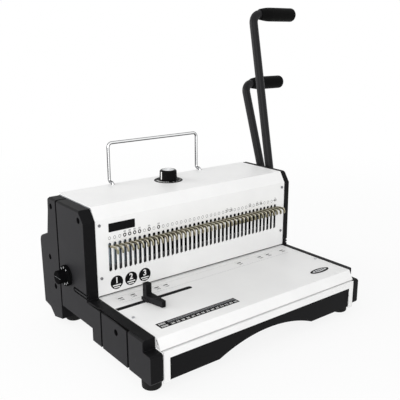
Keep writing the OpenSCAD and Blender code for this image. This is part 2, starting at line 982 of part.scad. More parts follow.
module hook_bar() {
    color(steel)
        on_table()
            difference() {
                union() {
                    box(-row_half - 2, row_half + 2, hook_bar_y0, hook_bar_y1, bar_low, bar_high);
                    box(-rod_x - lug_half, rod_x + lug_half, hook_bar_y0, hook_bar_y1, lug_low, bar_high);
                    for (x = [-rod_x, rod_x])
                        box(x - lug_half, x + lug_half, hook_bar_y0, hook_rod_y + 6.5, lug_low, bar_high);
                    for (x = [-hook_spring_x, hook_spring_x])
                        box(x - 6, x + 6, hook_bar_y0, 20.5, hook_crown, hook_spring_z);
                }
                for (x = [-rod_x, rod_x])
                    z_rod(x, hook_rod_y, bar_low - 1, bar_high + 1, rod_r + run_fit);
            }
}

// Hook seen from its side: an arched strip that rises from the bar and curls down to a round tip
function hook_outline() =
    let (
        deep = 3.4,
        nose_r = 0.26 * hook_reach,
        back_r = 10 * nose_r,
        nose = [nose_r - hook_reach, hook_crown - nose_r],
        hub = [nose[0], hook_crown - back_r],
        tip = nose + (nose_r - deep / 2) * [cos(200), sin(200)]
    )
        concat(
            arc(hub, back_r, acos((hook_bar_y0 - hub[0]) / back_r), 90, 5),
            arc(nose, nose_r, 108, 200, 5),
            arc(tip, deep / 2, 240, 340, 2),
            arc(nose, nose_r - deep, 200, 112, 4),
            arc(hub, back_r - deep, 90, acos((hook_bar_y0 - hub[0]) / (back_r - deep)), 5)
        );

module wire_hooks() {
    color(plated)
        on_table()
            for (i = [0 : slot_count - 1]) {
                x = -row_half + i * slot_pitch;
                side_prism(x - hook_t / 2, x + hook_t / 2, hook_outline());
            }
}

module hook_racks() {
    m = 2 * closing_pitch_r / closing_teeth;
    rack_back = closing_y - closing_pitch_r - 12;
    color(steel)
        on_table()
            for (x = [-closing_pinion_x, closing_pinion_x])
                union() {
                    side_prism(x - gear_w / 2, x + gear_w / 2,
                        rack_outline(closing_y - closing_pitch_r, closing_z, 2, 6, rack_back, m));
                    box(x - gear_w / 2, x + gear_w / 2, hook_bar_y1, rack_back + 1, bar_high - 10, bar_high);
                }
}

// Margin dial, its cam and the paper stop

module dial_plate() {
    color(black_plastic)
        on_table()
            difference() {
                translate([dial_x, dial_y, head_h])
                    cylinder(h = dial_plate_t, r1 = 24, r2 = 22.5, $fn = 96);
                z_rod(dial_x, dial_y, head_h - 1, head_h + dial_plate_t + 1, spindle_r + run_fit);
            }
}

module margin_knob() {
    r = dial_d / 2;
    seat = head_h + dial_plate_t + slide_gap;
    color(black_plastic)
        on_table()
            difference() {
                translate([dial_x, dial_y, seat])
                    rotate_extrude()
                        polygon([[0, 0], [r, 0], [r - 0.6, dial_h - 1.2], [r - 1.8, dial_h], [0, dial_h]]);
                z_rod(dial_x, dial_y, seat - 1, seat + dial_h - 4, spindle_r);
            }
}

module knob_cap() {
    seat = head_h + dial_plate_t + slide_gap + dial_h;
    color(bright)
        on_table()
            z_rod(dial_x, dial_y, seat, seat + 0.8, dial_d / 2 - 3);
}

module dial_spindle() {
    color(steel)
        on_table()
            z_rod(dial_x, dial_y, -7, head_h + dial_plate_t + slide_gap + dial_h - 4, spindle_r);
}

module cam_bracket() {
    color(steel)
        on_table()
            difference() {
                box(dial_x - 24, dial_x + 24, die_y1, dial_y + 16, -6, -3);
                z_rod(dial_x, dial_y, -7, -2, spindle_r + run_fit);
            }
}

// Snail whose radius falls evenly with the turn of the knob
module snail_cam() {
    color(bronze)
        on_table()
            translate([dial_x, dial_y, slide_gap - 3])
                difference() {
                    linear_extrude(throat_h + 3 - 2 * slide_gap)
                        polygon([
                            for (a = [-175 : 5 : 175])
                                (cam_r + cam_rise * a) * [cos(a - 90), sin(a - 90)]
                        ]);
                    translate([0, 0, -1])
                        cylinder(h = throat_h + 5, r = spindle_r);
                }
}

module margin_stop() {
    z0 = slide_gap;
    z1 = throat_h - slide_gap;
    nose_y = dial_y - cam_r - slide_gap;
    color(steel)
        on_table()
            union() {
                box(-row_half - 5, row_half + 5, pin_y + 5, pin_y + 9, z0, z1);
                box(dial_x - 8, dial_x + 8, pin_y + 8, nose_y - 4, z0, z1);
                box(dial_x - 2, dial_x + 2, nose_y - 5, nose_y - 2, z0, z1);
                z_rod(dial_x, nose_y - 2, z0, z1, 2);
            }
}

// Size knob, spindle and stop wedge

module size_knob() {
    r = size_knob_d / 2;
    boss_r = size_boss_d / 2;
    x1 = -half_w - left_cover_t - pass_gap;
    color(black_plastic)
        on_table()
            difference() {
                translate([x1, size_y, size_z])
                    rotate([0, -90, 0])
                        rotate_extrude()
                            polygon([
                                [0, 0], [r, 0], [r, size_rim_t - 0.8], [r - 0.8, size_rim_t],
                                [boss_r, size_rim_t], [boss_r, size_knob_len - 1],
                                [boss_r - 1, size_knob_len], [0, size_knob_len]
                            ]);
                for (i = [0 : 29])
                    x_rod(x1 - size_knob_len, x1 - 1.2, size_y + (r + 0.5) * cos(i * 12),
                        size_z + (r + 0.5) * sin(i * 12), 1.2, $fn = 16);
                box(x1 - size_knob_len - 1, x1 - size_knob_len + 1.5,
                    size_y - boss_r - 1, size_y + boss_r + 1, size_z - 1.3, size_z + 1.3);
                x_rod(x1 - size_knob_len + 4, x1 + 1, size_y, size_z, spindle_r);
            }
}

module size_spindle() {
    x1 = -half_w - left_cover_t - pass_gap;
    color(steel)
        on_table()
            x_rod(x1 - size_knob_len + 4, wedge_x1 + 8, size_y, size_z, spindle_r);
}

module stop_wedge() {
    color(bronze)
        on_table()
            difference() {
                union() {
                    box(wedge_x0, wedge_x1, size_y - 8, wedge_rod_y + 6, size_z - 9, size_z + 8);
                    translate([0, wedge_rod_y + 6, 0])
                        rotate([90, 0, 0])
                            linear_extrude(14)
                                polygon([
                                    [wedge_x0, size_z], [wedge_x1, size_z], [wedge_x1, 51], [wedge_x0, 45]
                                ]);
                }
                x_rod(wedge_x0 - 1, wedge_x1 + 1, size_y, size_z, spindle_r + run_fit);
                x_rod(wedge_x0 - 1, wedge_x1 + 1, wedge_rod_y, size_z - 3, wedge_rod_r + run_fit);
            }
}

module wedge_rod() {
    color(bright)
        on_table()
            x_rod(-plate_in, wedge_x1 + 8, wedge_rod_y, size_z - 3, wedge_rod_r);
}

// Side guide on the table

module side_guide() {
    slot_mid = (guide_slot_y0 + guide_slot_y1) / 2;
    color(black_plastic)
        on_table()
            difference() {
                union() {
                    box(guide_x0 + 1.2, guide_x0 + 10.6, slot_mid - 4, slot_mid + 5.5, slide_gap, 26.8);
                    translate([0, 0, slide_gap])
                        linear_extrude(9.4)
                            polygon([
                                [guide_x0 + 1.2, slot_mid + 5.5], [guide_x0 + 1.2, slot_mid - 6],
                                [guide_x1 - 6.5, slot_mid - 34.5], [guide_x1, slot_mid - 34.5],
                                [guide_x1, slot_mid + 5.5]
                            ]);
                    box(guide_x0, guide_x1, slot_mid - 8, slot_mid + 8, slide_gap, 5);
                    box(guide_x0, guide_x1, guide_slot_y0 + slide_gap, guide_slot_y1 - slide_gap,
                        -sheet_t - slide_gap, 4);
                }
                z_rod((guide_x0 + guide_x1) / 2, slot_mid, -5, 8, screw_r);
            }
}

module guide_shoe() {
    slot_mid = (guide_slot_y0 + guide_slot_y1) / 2;
    top = -sheet_t - slide_gap;
    color(steel)
        on_table()
            difference() {
                box(guide_x0 - 2, guide_x1 + 2, slot_mid - 9, slot_mid + 9, top - 3, top);
                z_rod((guide_x0 + guide_x1) / 2, slot_mid, top - 4, top + 1, screw_r);
            }
}

module guide_screw() {
    slot_mid = (guide_slot_y0 + guide_slot_y1) / 2;
    color(bright)
        on_table()
            translate([(guide_x0 + guide_x1) / 2, slot_mid, -sheet_t - slide_gap - 3])
                rotate([180, 0, 0])
                    screw(screw_r, 10);
}

// Chip tray

module chip_tray() {
    wall = 1.6;
    x0 = -half_w - 0.5;
    x1 = plate_in - 1.5;
    color(black_plastic)
        on_table()
            difference() {
                box(x0, x1, tray_y0, tray_y1, tray_z0, tray_z1);
                box(x0 + 4, x1 - wall, tray_y0 + wall, tray_y1 - wall, tray_z0 + wall, tray_z1 + 1);
                x_rod(x0 - 1, x0 + 2, (tray_y0 + tray_y1) / 2, tray_z0, 8);
            }
}

base_pan();
left_side_plate();
right_side_plate();
foot_brackets();
rubber_feet();
foot_screws();
front_tie_bar();
top_bridge();
paper_table();
table_screws();
front_apron();
front_fascia();
head_cover();
head_screws();
left_front_cover();
left_rear_cover();
right_front_cover();
right_rear_cover();
cover_screws();
rear_housing();
wire_rack();
dial_plate();
die_plate();
stripper_plate();
ram_rods();
hook_rods();
shaft_bushes();
cam_bracket();
wedge_rod();
punch_springs();
hook_springs();
punch_arm();
punch_grip();
punch_shaft();
punch_pinions();
punch_ram();
punch_pins();
punch_racks();
closing_arm();
closing_grip();
closing_shaft();
closing_pinions();
hook_bar();
wire_hooks();
hook_racks();
margin_knob();
knob_cap();
dial_spindle();
snail_cam();
margin_stop();
size_knob();
size_spindle();
stop_wedge();
side_guide();
guide_shoe();
guide_screw();
chip_tray();
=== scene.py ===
import math
import bmesh
import bpy
from mathutils import Matrix, Vector


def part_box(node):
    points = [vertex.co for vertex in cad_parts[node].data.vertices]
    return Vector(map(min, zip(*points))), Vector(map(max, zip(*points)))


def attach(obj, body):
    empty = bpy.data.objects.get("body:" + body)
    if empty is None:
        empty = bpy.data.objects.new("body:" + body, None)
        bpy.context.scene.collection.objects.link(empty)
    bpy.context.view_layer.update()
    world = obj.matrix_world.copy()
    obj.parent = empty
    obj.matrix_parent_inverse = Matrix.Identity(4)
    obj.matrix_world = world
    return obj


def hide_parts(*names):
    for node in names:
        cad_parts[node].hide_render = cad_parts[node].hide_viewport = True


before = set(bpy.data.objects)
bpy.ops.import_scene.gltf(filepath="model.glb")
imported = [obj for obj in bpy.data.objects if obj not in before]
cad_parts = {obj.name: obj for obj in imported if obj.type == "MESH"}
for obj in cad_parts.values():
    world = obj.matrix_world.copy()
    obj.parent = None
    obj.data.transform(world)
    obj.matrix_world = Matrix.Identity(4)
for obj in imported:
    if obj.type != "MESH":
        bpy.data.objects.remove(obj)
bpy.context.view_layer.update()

# Studio. The machine stands on white paper that runs back out of sight, seen from its left front corner,
# a little above the head. The walls are brightest at the left and overhead, dimmer at the right and the back,
# and one softbox at the rear left and one at the front left shape the faces.
scene = bpy.context.scene
scene.view_settings.view_transform = "Standard"
camera_place = (-0.56245, -0.72817, 0.44230)
camera_turn, camera_dip, camera_roll = -0.6568, 0.2665, -0.0029
camera = bpy.data.objects.new("camera", bpy.data.cameras.new("camera"))
camera.data.sensor_width = 36.0
camera.data.lens = 54.282
camera.matrix_world = (
    Matrix.Translation(camera_place)
    @ Matrix.Rotation(camera_turn, 4, "Z")
    @ Matrix.Rotation(math.pi / 2 - camera_dip, 4, "X")
    @ Matrix.Rotation(camera_roll, 4, "Z")
)
scene.collection.objects.link(camera)
scene.camera = camera


class Field:
    """A socket of a node tree. Arithmetic adds Math nodes to the tree, and node() adds any other node."""

    def __init__(self, tree, socket=None):
        self.tree = tree
        self.socket = socket

    def plug(self, node, sockets):
        """Sets a node's sockets to values, or links them to other fields."""
        for key, value in sockets.items():
            if isinstance(value, Field):
                self.tree.links.new(value.socket, node.inputs[key])
            else:
                node.inputs[key].default_value = value

    def node(self, kind, settings=None, sockets=None, out=0):
        made = self.tree.nodes.new("ShaderNode" + kind)
        for key, value in (settings or {}).items():
            setattr(made, key, value)
        self.plug(made, sockets or {})
        return Field(self.tree, made.outputs[out])

    def math(self, operation, first, second):
        return self.node("Math", {"operation": operation}, {0: first, 1: second})

    def __add__(self, other):
        return self.math("ADD", self, other)

    def __radd__(self, other):
        return self.math("ADD", other, self)

    def __sub__(self, other):
        return self.math("SUBTRACT", self, other)

    def __rsub__(self, other):
        return self.math("SUBTRACT", other, self)

    def __mul__(self, other):
        return self.math("MULTIPLY", self, other)

    def __rmul__(self, other):
        return self.math("MULTIPLY", other, self)

    def most(self, other):
        return self.math("MAXIMUM", self, other)

    def step(self, low, high):
        """Smooth rise from 0 at low to 1 at high."""
        return self.node("MapRange", {"interpolation_type": "SMOOTHSTEP"},
                         {"Value": self, "From Min": low, "From Max": high})

    def blend(self, first, second):
        """Colour from first to second as this field goes from 0 to 1."""
        return self.node("Mix", {"data_type": "RGBA"}, {0: self, 6: first, 7: second}, out=2)

    def vector(self, operation, other=(0, 0, 0), out=0):
        """Vector Math on this vector and another one."""
        return self.node("VectorMath", {"operation": operation}, {0: self, 1: other}, out=out)

    def part(self, axis):
        """One axis of a vector."""
        return self.node("SeparateXYZ", None, {0: self}, out=axis)


def seen_directly(tree):
    """1 for rays from the camera and for mirror and glass rays, and 0 for the light that falls on things."""
    camera_ray, mirror_ray, glass_ray = (
        Field(tree).node("LightPath", out=f"Is {kind} Ray") for kind in ("Camera", "Glossy", "Transmission"))
    return camera_ray.most(mirror_ray).most(glass_ray)


def show(tree, surface):
    """Makes a shader the one that a material shows."""
    tree.links.new(surface.socket, tree.nodes["Material Output"].inputs["Surface"])


floor_reach = 7.0
floor_corners = [(x * floor_reach, y * floor_reach, 0) for x, y in ((-1, -1), (1, -1), (1, 1), (-1, 1))]
floor_mesh = bpy.data.meshes.new("paper_floor")
floor_mesh.from_pydata(floor_corners, [], [(0, 1, 2, 3)])
paper_floor = bpy.data.objects.new("paper_floor", floor_mesh)
scene.collection.objects.link(paper_floor)
floor_paper = bpy.data.materials.new("floor_paper")
floor_paper.use_nodes = True
floor_tree = floor_paper.node_tree
floor_shader = floor_tree.nodes["Principled BSDF"]
floor_spot = Field(floor_tree).node("TexCoord", out="Object")
floor_fibre = floor_spot.node("TexNoise", None, {"Vector": floor_spot, "Scale": 260.0, "Detail": 3.0})
paper_shade, paper_white, plain_white = (0.89, 0.89, 0.89, 1), (0.91, 0.91, 0.91, 1), (1, 1, 1, 1)
floor_spot.plug(floor_shader, {
    "Base Color": floor_fibre.step(0.3, 0.7).blend(paper_shade, paper_white),
    "Roughness": 0.9,
    "Specular IOR Level": 0.1})
near_white = 0.86
floor_far = floor_spot.vector("LENGTH", out="Value").step(0.5, 1.6)
floor_glow = seen_directly(floor_tree) * (near_white + (1 - near_white) * floor_far)
floor_lit = Field(floor_tree, floor_shader.outputs["BSDF"])
floor_white = floor_spot.node("Emission", None, {"Color": plain_white, "Strength": 1.0})
show(floor_tree, floor_spot.node("MixShader", None, {0: floor_glow, 1: floor_lit, 2: floor_white}))
floor_mesh.materials.append(floor_paper)

walls = scene.world or bpy.data.worlds.new("white_walls")
scene.world = walls
walls.use_nodes = True
walls_seen = seen_directly(walls.node_tree)
walls_way = walls_seen.node("TexCoord", out="Generated")
right_level, left_gain, back_loss, top_gain = 0.5, 0.7, 0.35, 0.09
left_wall = 1 - walls_way.part("X").step(-0.75, 0.75)
back_wall = walls_way.part("Y").step(-0.1, 0.8)
overhead = walls_way.part("Z").step(0.3, 1.0)
walls_level = (right_level + left_gain * left_wall) * (1 - back_loss * back_wall) * (1 + top_gain * overhead)
walls_seen.plug(walls.node_tree.nodes["Background"], {
    "Color": plain_white,
    "Strength": walls_level + walls_seen * (1 - walls_level)})

lamp_aim = Vector((0, 0, 0.12))
for name, place, size, power in (
    ("rear_softbox", (-1.6, 1.5, 0.75), 1.1, 20.0),
    ("front_softbox", (-1.15, -1.2, 0.5), 1.2, 9.6),
):
    lamp = bpy.data.lights.new(name, "AREA")
    lamp.size = size
    lamp.energy = power
    softbox = bpy.data.objects.new(name, lamp)
    softbox.location = place
    softbox.rotation_euler = (lamp_aim - Vector(place)).to_track_quat("-Z", "Y").to_euler()
    scene.collection.objects.link(softbox)

# Steel chassis. Two laser-cut side plates stand on a folded floor pan, tied by a bar at the front and a
# bridge at the top; all are zinc plated, with the faint streaks of cold-rolled sheet under the plating.
mm_per_metre = 1000.0


def finish(name):
    """A new material, with its shader and the place on the piece that the patterns are drawn from."""
    material = bpy.data.materials.new(name)
    material.use_nodes = True
    spot = Field(material.node_tree).node("TexCoord", out="Object")
    return material, material.node_tree.nodes["Principled BSDF"], spot


def speckle(spot, size, detail, stretch=None):
    """Noise from 0 to 1 with spots of about a size in millimetres, drawn out along an axis if asked."""
    if stretch:
        spot = spot.node("Mapping", None, {"Vector": spot, "Scale": stretch})
    return spot.node("TexNoise", None, {"Vector": spot, "Scale": mm_per_metre / size, "Detail": detail})


def relief(spot, height, depth, strength):
    """Bump of the given depth in millimetres."""
    return spot.node("Bump", None, {"Strength": strength, "Distance": depth / mm_per_metre, "Height": height})


def facing(spot):
    """The way that the surface looks."""
    return spot.node("NewGeometry", out="Normal")


def edge_share(spot, reach):
    """1 along the edges of a piece, falling to 0 at the given distance in millimetres."""
    eased = spot.node("Bevel", {"samples": 6}, {"Radius": reach / mm_per_metre})
    return (1 - eased.vector("DOT_PRODUCT", facing(spot), out="Value")).step(0.01, 0.16)


smooth_faces = bpy.data.node_groups.new("smooth_faces", "GeometryNodeTree")
for direction in ("INPUT", "OUTPUT"):
    smooth_faces.interface.new_socket("Geometry", in_out=direction, socket_type="NodeSocketGeometry")
faces_in = smooth_faces.nodes.new("NodeGroupInput")
faces_out = smooth_faces.nodes.new("NodeGroupOutput")
faces_set = smooth_faces.nodes.new("GeometryNodeSetShadeSmooth")
smooth_faces.links.new(faces_in.outputs[0], faces_set.inputs["Geometry"])
smooth_faces.links.new(faces_set.outputs[0], faces_out.inputs[0])
weld_gap, flat_degrees, sharp_degrees, even_weight = 0.00001, 0.6, 28, 90


def soften(piece, width, segments=2):
    """Rounds the edges of a piece by the given width in millimetres, as tooling and paint leave them."""
    weld = piece.modifiers.new("weld", "WELD")
    weld.merge_threshold = weld_gap
    plain = piece.modifiers.new("plain", "DECIMATE")
    plain.decimate_type = "DISSOLVE"
    plain.angle_limit = math.radians(flat_degrees)
    edge = piece.modifiers.new("edge", "BEVEL")
    edge.width = width / mm_per_metre
    edge.segments = segments
    edge.limit_method = "ANGLE"
    edge.angle_limit = math.radians(sharp_degrees)
    piece.modifiers.new("smooth", "NODES").node_group = smooth_faces
    even = piece.modifiers.new("even", "WEIGHTED_NORMAL")
    even.weight = even_weight


def dress(material, *names, edge=0.0, segments=2):
    """Gives solids of the machine their finish and their rounded edges."""
    for name in names:
        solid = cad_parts[name]
        solid.data.materials.clear()
        solid.data.materials.append(material)
        if edge:
            soften(solid, edge, segments)


zinc_plate, zinc_shader, spot = finish("zinc_plate")
streaks = speckle(spot, 1.4, 3.0, stretch=(0.05, 1.0, 1.0))
bloom = speckle(spot, 22.0, 4.0)
zinc_dull, zinc_pale = (0.33, 0.34, 0.36, 1), (0.47, 0.48, 0.5, 1)
spot.plug(zinc_shader, {
    "Base Color": (0.6 * bloom + 0.4 * streaks).step(0.3, 0.7).blend(zinc_dull, zinc_pale),
    "Metallic": 1.0,
    "Roughness": 0.34 + 0.16 * bloom + 0.08 * streaks,
    "Normal": relief(spot, streaks, 0.02, 0.4)})
dress(zinc_plate, "base_pan", "left_side_plate", "right_side_plate", "foot_brackets", "front_tie_bar",
      "top_bridge", edge=0.3)

# Feet. Four round rubber feet, each held up into a bracket by a pan-head screw from below; the rubber
# is moulded, slightly dusty, and its lower rim is worn dull.
foot_rubber, foot_shader, spot = finish("foot_rubber")
foot_grain = speckle(spot, 0.6, 3.0)
foot_dust = speckle(spot, 9.0, 4.0)
rim_height = 0.004
foot_rim = (1 - spot.part("Z").step(0.0, rim_height)) * foot_dust.step(0.35, 0.75)
foot_black, foot_grey = (0.006, 0.006, 0.006, 1), (0.035, 0.034, 0.032, 1)
spot.plug(foot_shader, {
    "Base Color": (0.5 * foot_rim + 0.35 * foot_dust.step(0.5, 0.8)).blend(foot_black, foot_grey),
    "Roughness": 0.62 + 0.2 * foot_dust,
    "Specular IOR Level": 0.18,
    "Normal": relief(spot, foot_grain, 0.05, 0.5)})
dress(foot_rubber, "rubber_feet", edge=0.5, segments=3)

screw_steel, screw_shader, spot = finish("screw_steel")
screw_turning = speckle(spot, 0.5, 2.0)
screw_tarnish = speckle(spot, 5.0, 3.0)
screw_bright, screw_dull = (0.62, 0.63, 0.65, 1), (0.45, 0.46, 0.48, 1)
spot.plug(screw_shader, {
    "Base Color": screw_tarnish.step(0.3, 0.75).blend(screw_bright, screw_dull),
    "Metallic": 1.0,
    "Roughness": 0.24 + 0.2 * screw_tarnish,
    "Normal": relief(spot, screw_turning, 0.015, 0.4)})
dress(screw_steel, "foot_screws", edge=0.2)

# Punch block. A bored die plate and a stripper plate guide forty ground pins on a heavy ram, which slides
# on two rods and is driven by racks and pinions on the punch shaft, against two coil springs; both lever
# shafts turn in bushes of sintered bronze.
ground_steel, ground_shader, spot = finish("ground_steel")
grinding = speckle(spot, 0.7, 2.0, stretch=(0.04, 1.0, 1.0))
oil_film = speckle(spot, 14.0, 3.0)
ground_dark, ground_pale = (0.26, 0.26, 0.27, 1), (0.4, 0.4, 0.41, 1)
spot.plug(ground_shader, {
    "Base Color": (0.5 * grinding + 0.5 * oil_film).step(0.3, 0.7).blend(ground_dark, ground_pale),
    "Metallic": 1.0,
    "Roughness": 0.26 + 0.22 * oil_film,
    "Normal": relief(spot, grinding, 0.02, 0.35)})
dress(ground_steel, "die_plate", "stripper_plate", "punch_ram", edge=0.3)
dress(ground_steel, "punch_racks", "punch_pinions", edge=0.12)
dress(ground_steel, "punch_shaft")

bright_steel, bright_shader, spot = finish("bright_steel")
drawing = speckle(spot, 0.8, 2.0)
handling = speckle(spot, 16.0, 3.0)
rod_bright, rod_touched = (0.74, 0.75, 0.77, 1), (0.66, 0.67, 0.69, 1)
spot.plug(bright_shader, {
    "Base Color": handling.step(0.3, 0.75).blend(rod_bright, rod_touched),
    "Metallic": 1.0,
    "Roughness": 0.12 + 0.12 * handling,
    "Normal": relief(spot, drawing, 0.008, 0.3)})
dress(bright_steel, "ram_rods", "punch_pins", "hook_rods", "wedge_rod")

spring_steel, spring_shader, spot = finish("spring_steel")
spring_scale = speckle(spot, 2.5, 3.0)
spring_dark, spring_pale = (0.2, 0.2, 0.21, 1), (0.34, 0.34, 0.36, 1)
spot.plug(spring_shader, {
    "Base Color": spring_scale.step(0.3, 0.7).blend(spring_dark, spring_pale),
    "Metallic": 1.0,
    "Roughness": 0.3 + 0.2 * spring_scale})
dress(spring_steel, "punch_springs", "hook_springs")

bronze, bronze_shader, spot = finish("sintered_bronze")
pores = speckle(spot, 0.35, 2.0)
bronze_stain = speckle(spot, 6.0, 4.0)
bronze_dark, bronze_pale = (0.3, 0.19, 0.08, 1), (0.52, 0.36, 0.17, 1)
spot.plug(bronze_shader, {
    "Base Color": (0.3 * pores + 0.7 * bronze_stain).step(0.3, 0.7).blend(bronze_dark, bronze_pale),
    "Metallic": 1.0,
    "Roughness": 0.36 + 0.2 * pores,
    "Normal": relief(spot, pores, 0.03, 0.5)})
dress(bronze, "shaft_bushes", edge=0.2)

# Hook carriage. Forty arched hooks, stamped from strip and yellow-zinc plated, are riveted to a bar of dark
# polished steel, painted bright at its left end as a painted reflection, that rides on two rods behind the
# slots; racks join it to the pinions of the closing shaft.
yellow_zinc, yellow_shader, spot = finish("yellow_zinc")
shimmer = speckle(spot, 3.2, 3.0)
tint = speckle(spot, 11.0, 2.0)
# Painted light and shade: the hooks' tops are painted lighter, their sides darker, and their edges dark.
hook_shade, hook_lit_gold = (0.22, 0.195, 0.115, 1), (0.74, 0.7, 0.56, 1)
hook_rose, hook_green, hook_edge_shade = (0.46, 0.38, 0.3, 1), (0.4, 0.43, 0.3, 1), (0.08, 0.072, 0.046, 1)
hook_top_lit = facing(spot).part("Z").step(0.2, 0.9)
gold = (0.35 * shimmer.step(0.32, 0.68) + 0.65 * hook_top_lit).blend(hook_shade, hook_lit_gold)
rosy = (0.4 * tint.step(0.52, 0.7)).blend(gold, hook_rose)
green = (0.45 * (1 - tint.step(0.3, 0.46))).blend(rosy, hook_green)
spot.plug(yellow_shader, {
    "Base Color": (0.8 * edge_share(spot, 0.5)).blend(green, hook_edge_shade),
    "Metallic": 1.0,
    "Roughness": 0.24 + 0.2 * shimmer,
    "Normal": relief(spot, shimmer, 0.02, 0.3)})
dress(yellow_zinc, "wire_hooks", edge=0.25)

dark_steel, dark_shader, spot = finish("dark_steel")
bar_polish = speckle(spot, 0.9, 2.0, stretch=(0.05, 1.0, 1.0))
bar_stain = speckle(spot, 18.0, 3.0)
# Painted reflection: the bar is painted bright towards its left end.
reflection_until, reflection_away = -0.17, -0.075
bar_painted_reflection = 1 - spot.part("X").step(reflection_until, reflection_away)
bar_dark, bar_pale, bar_reflection_bright = (0.012, 0.013, 0.016, 1), (0.026, 0.028, 0.033, 1), (0.5, 0.56, 0.62, 1)
bar_black = bar_stain.step(0.3, 0.7).blend(bar_dark, bar_pale)
spot.plug(dark_shader, {
    "Base Color": (bar_painted_reflection * (0.6 + 0.3 * bar_stain)).blend(bar_black, bar_reflection_bright),
    "Metallic": 1.0,
    "Roughness": 0.2 + 0.1 * bar_stain,
    "Normal": relief(spot, bar_polish, 0.01, 0.3)})
dress(dark_steel, "hook_bar", edge=0.3)
dress(ground_steel, "hook_racks", "closing_pinions", edge=0.12)
dress(ground_steel, "closing_shaft")

# Paper stop and stop wedge. A snail cam on the top knob's spindle sets the stop bar in the punching throat,
# and a threaded spindle draws a bronze wedge along a rod under the closing rack.
dress(zinc_plate, "cam_bracket", "margin_stop", edge=0.25)
dress(ground_steel, "dial_spindle", "size_spindle")
dress(bronze, "snail_cam", "stop_wedge", edge=0.25)

# Chip tray. A thin moulded drawer that slides in under the die from the left, matt black, its floor
# scratched pale by paper chips.
tray_plastic, tray_shader, spot = finish("tray_plastic")
tray_grain = speckle(spot, 0.5, 2.0)
tray_scratch = speckle(spot, 2.4, 3.0, stretch=(0.08, 1.0, 1.0))
tray_black, tray_pale = (0.009, 0.009, 0.0095, 1), (0.035, 0.035, 0.036, 1)
spot.plug(tray_shader, {
    "Base Color": (0.6 * tray_scratch.step(0.55, 0.75)).blend(tray_black, tray_pale),
    "Roughness": 0.5 + 0.2 * tray_scratch,
    "Specular IOR Level": 0.2,
    "Normal": relief(spot, tray_grain, 0.04, 0.4)})
dress(tray_plastic, "chip_tray", edge=0.5)

# Paper table. One sheet of folded steel, powder coated white, with a lip at the front; the guide slot and the
# screw holes are punched before coating, so their edges are rounded by the paint. Underneath the sheet and
# behind the lip, inside the fold, it is painted dark as painted shade.


def powder_coat(name, painted_shade):
    """White coat with a fine peel, thin on the edges; the function passed in gives the share painted dark as
    painted shade, at a way and a place.
    """
    material, shader, spot = finish(name)
    peel = speckle(spot, 1.5, 2.0)
    drift = speckle(spot, 60.0, 3.0)
    grime = speckle(spot, 7.0, 5.0)
    coat_grey, coat_white = (0.845, 0.845, 0.842, 1), (0.875, 0.875, 0.87, 1)
    # The second colour here is painted shade, for the faces that the mask passed in paints dark.
    thin_grey, painted_shade_dark = (0.62, 0.62, 0.61, 1), (0.022, 0.022, 0.024, 1)
    tone = drift.step(0.3, 0.7).blend(coat_grey, coat_white)
    tone = (0.35 * edge_share(spot, 0.8) * grime.step(0.35, 0.7)).blend(tone, thin_grey)
    way = {axis: facing(spot).part(axis) for axis in "XYZ"}
    place = {axis: spot.part(axis) for axis in "XYZ"}
    spot.plug(shader, {
        # Painted shade: where the mask passed in is 1, the coat is painted dark.
        "Base Color": painted_shade(way, place).blend(tone, painted_shade_dark),
        "Roughness": 0.32 + 0.1 * peel + 0.06 * grime,
        "Normal": relief(spot, peel, 0.05, 0.35)})
    return material


table_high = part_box("paper_table")[1]
table_top, table_side = table_high.z, table_high.x
fold_y, lip_run, lip_drop = -0.152, 0.008, 0.0145
under_sheet, under_clear = 0.0016, 0.0022
behind_lip, behind_clear = 0.0015, 0.0017
end_skin, end_outside = 0.0008, 0.0002


def inside_fold(way, place):
    """1 under the sheet and behind the lip, painted dark as painted shade, but 0 on the ends' outsides."""
    drop = table_top - place["Z"]
    behind = place["Y"] - fold_y + drop * (lip_run / lip_drop)
    end = (way["X"] * way["X"]).step(0.5, 0.9)
    side = (place["X"] * place["X"]).step((table_side - end_skin) ** 2, (table_side - end_outside) ** 2)
    hidden = drop.step(under_sheet, under_clear) * behind.step(behind_lip, behind_clear)
    return hidden * (1 - end * side)


table_coat = powder_coat("table_coat", inside_fold)
dress(table_coat, "paper_table", edge=0.45)
dress(screw_steel, "table_screws", edge=0.2)

# Print on the table. Screen-printed grey, black and white ink: a rule along the back with the sheet widths,
# and a table of wire sizes near the front; each is a film of ink that lies on the paint.


def on_table(across, along, up):
    """A place on the table from its millimetres right of the middle, in front of the head, and above."""
    return across / mm_per_metre, -along / mm_per_metre, table_top + up / mm_per_metre


def ink_film(name, colour, shade):
    """Screen ink of one colour, a little uneven in its gloss and thinner in places."""
    material, shader, spot = finish(name)
    screen = speckle(spot, 0.4, 2.0)
    thin = speckle(spot, 4.0, 3.0)
    spot.plug(shader, {
        "Base Color": (0.6 * thin.step(0.4, 0.8) + 0.2 * screen).blend(colour, shade),
        "Roughness": 0.4 + 0.15 * screen,
        "Specular IOR Level": 0.06,
        "Normal": relief(spot, screen, 0.01, 0.3)})
    return material


black_ink = ink_film("black_ink", (0.0035, 0.0035, 0.004, 1), (0.0075, 0.0075, 0.008, 1))
grey_ink = ink_film("grey_ink", (0.16, 0.165, 0.17, 1), (0.24, 0.245, 0.25, 1))
pale_ink = ink_film("pale_ink", (0.5, 0.505, 0.51, 1), (0.58, 0.585, 0.59, 1))
white_ink = ink_film("white_ink", (0.82, 0.82, 0.81, 1), (0.74, 0.74, 0.73, 1))
ink_thickness, first_ink, second_ink, third_ink = 0.008, 0.03, 0.05, 0.07


def add_piece(name, points, faces, material, body):
    """A new piece of the machine from its points in metres and its faces."""
    mesh = bpy.data.meshes.new(name)
    mesh.from_pydata(points, [], faces)
    mesh.materials.append(material)
    piece = bpy.data.objects.new(name, mesh)
    scene.collection.objects.link(piece)
    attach(piece, body)
    return piece


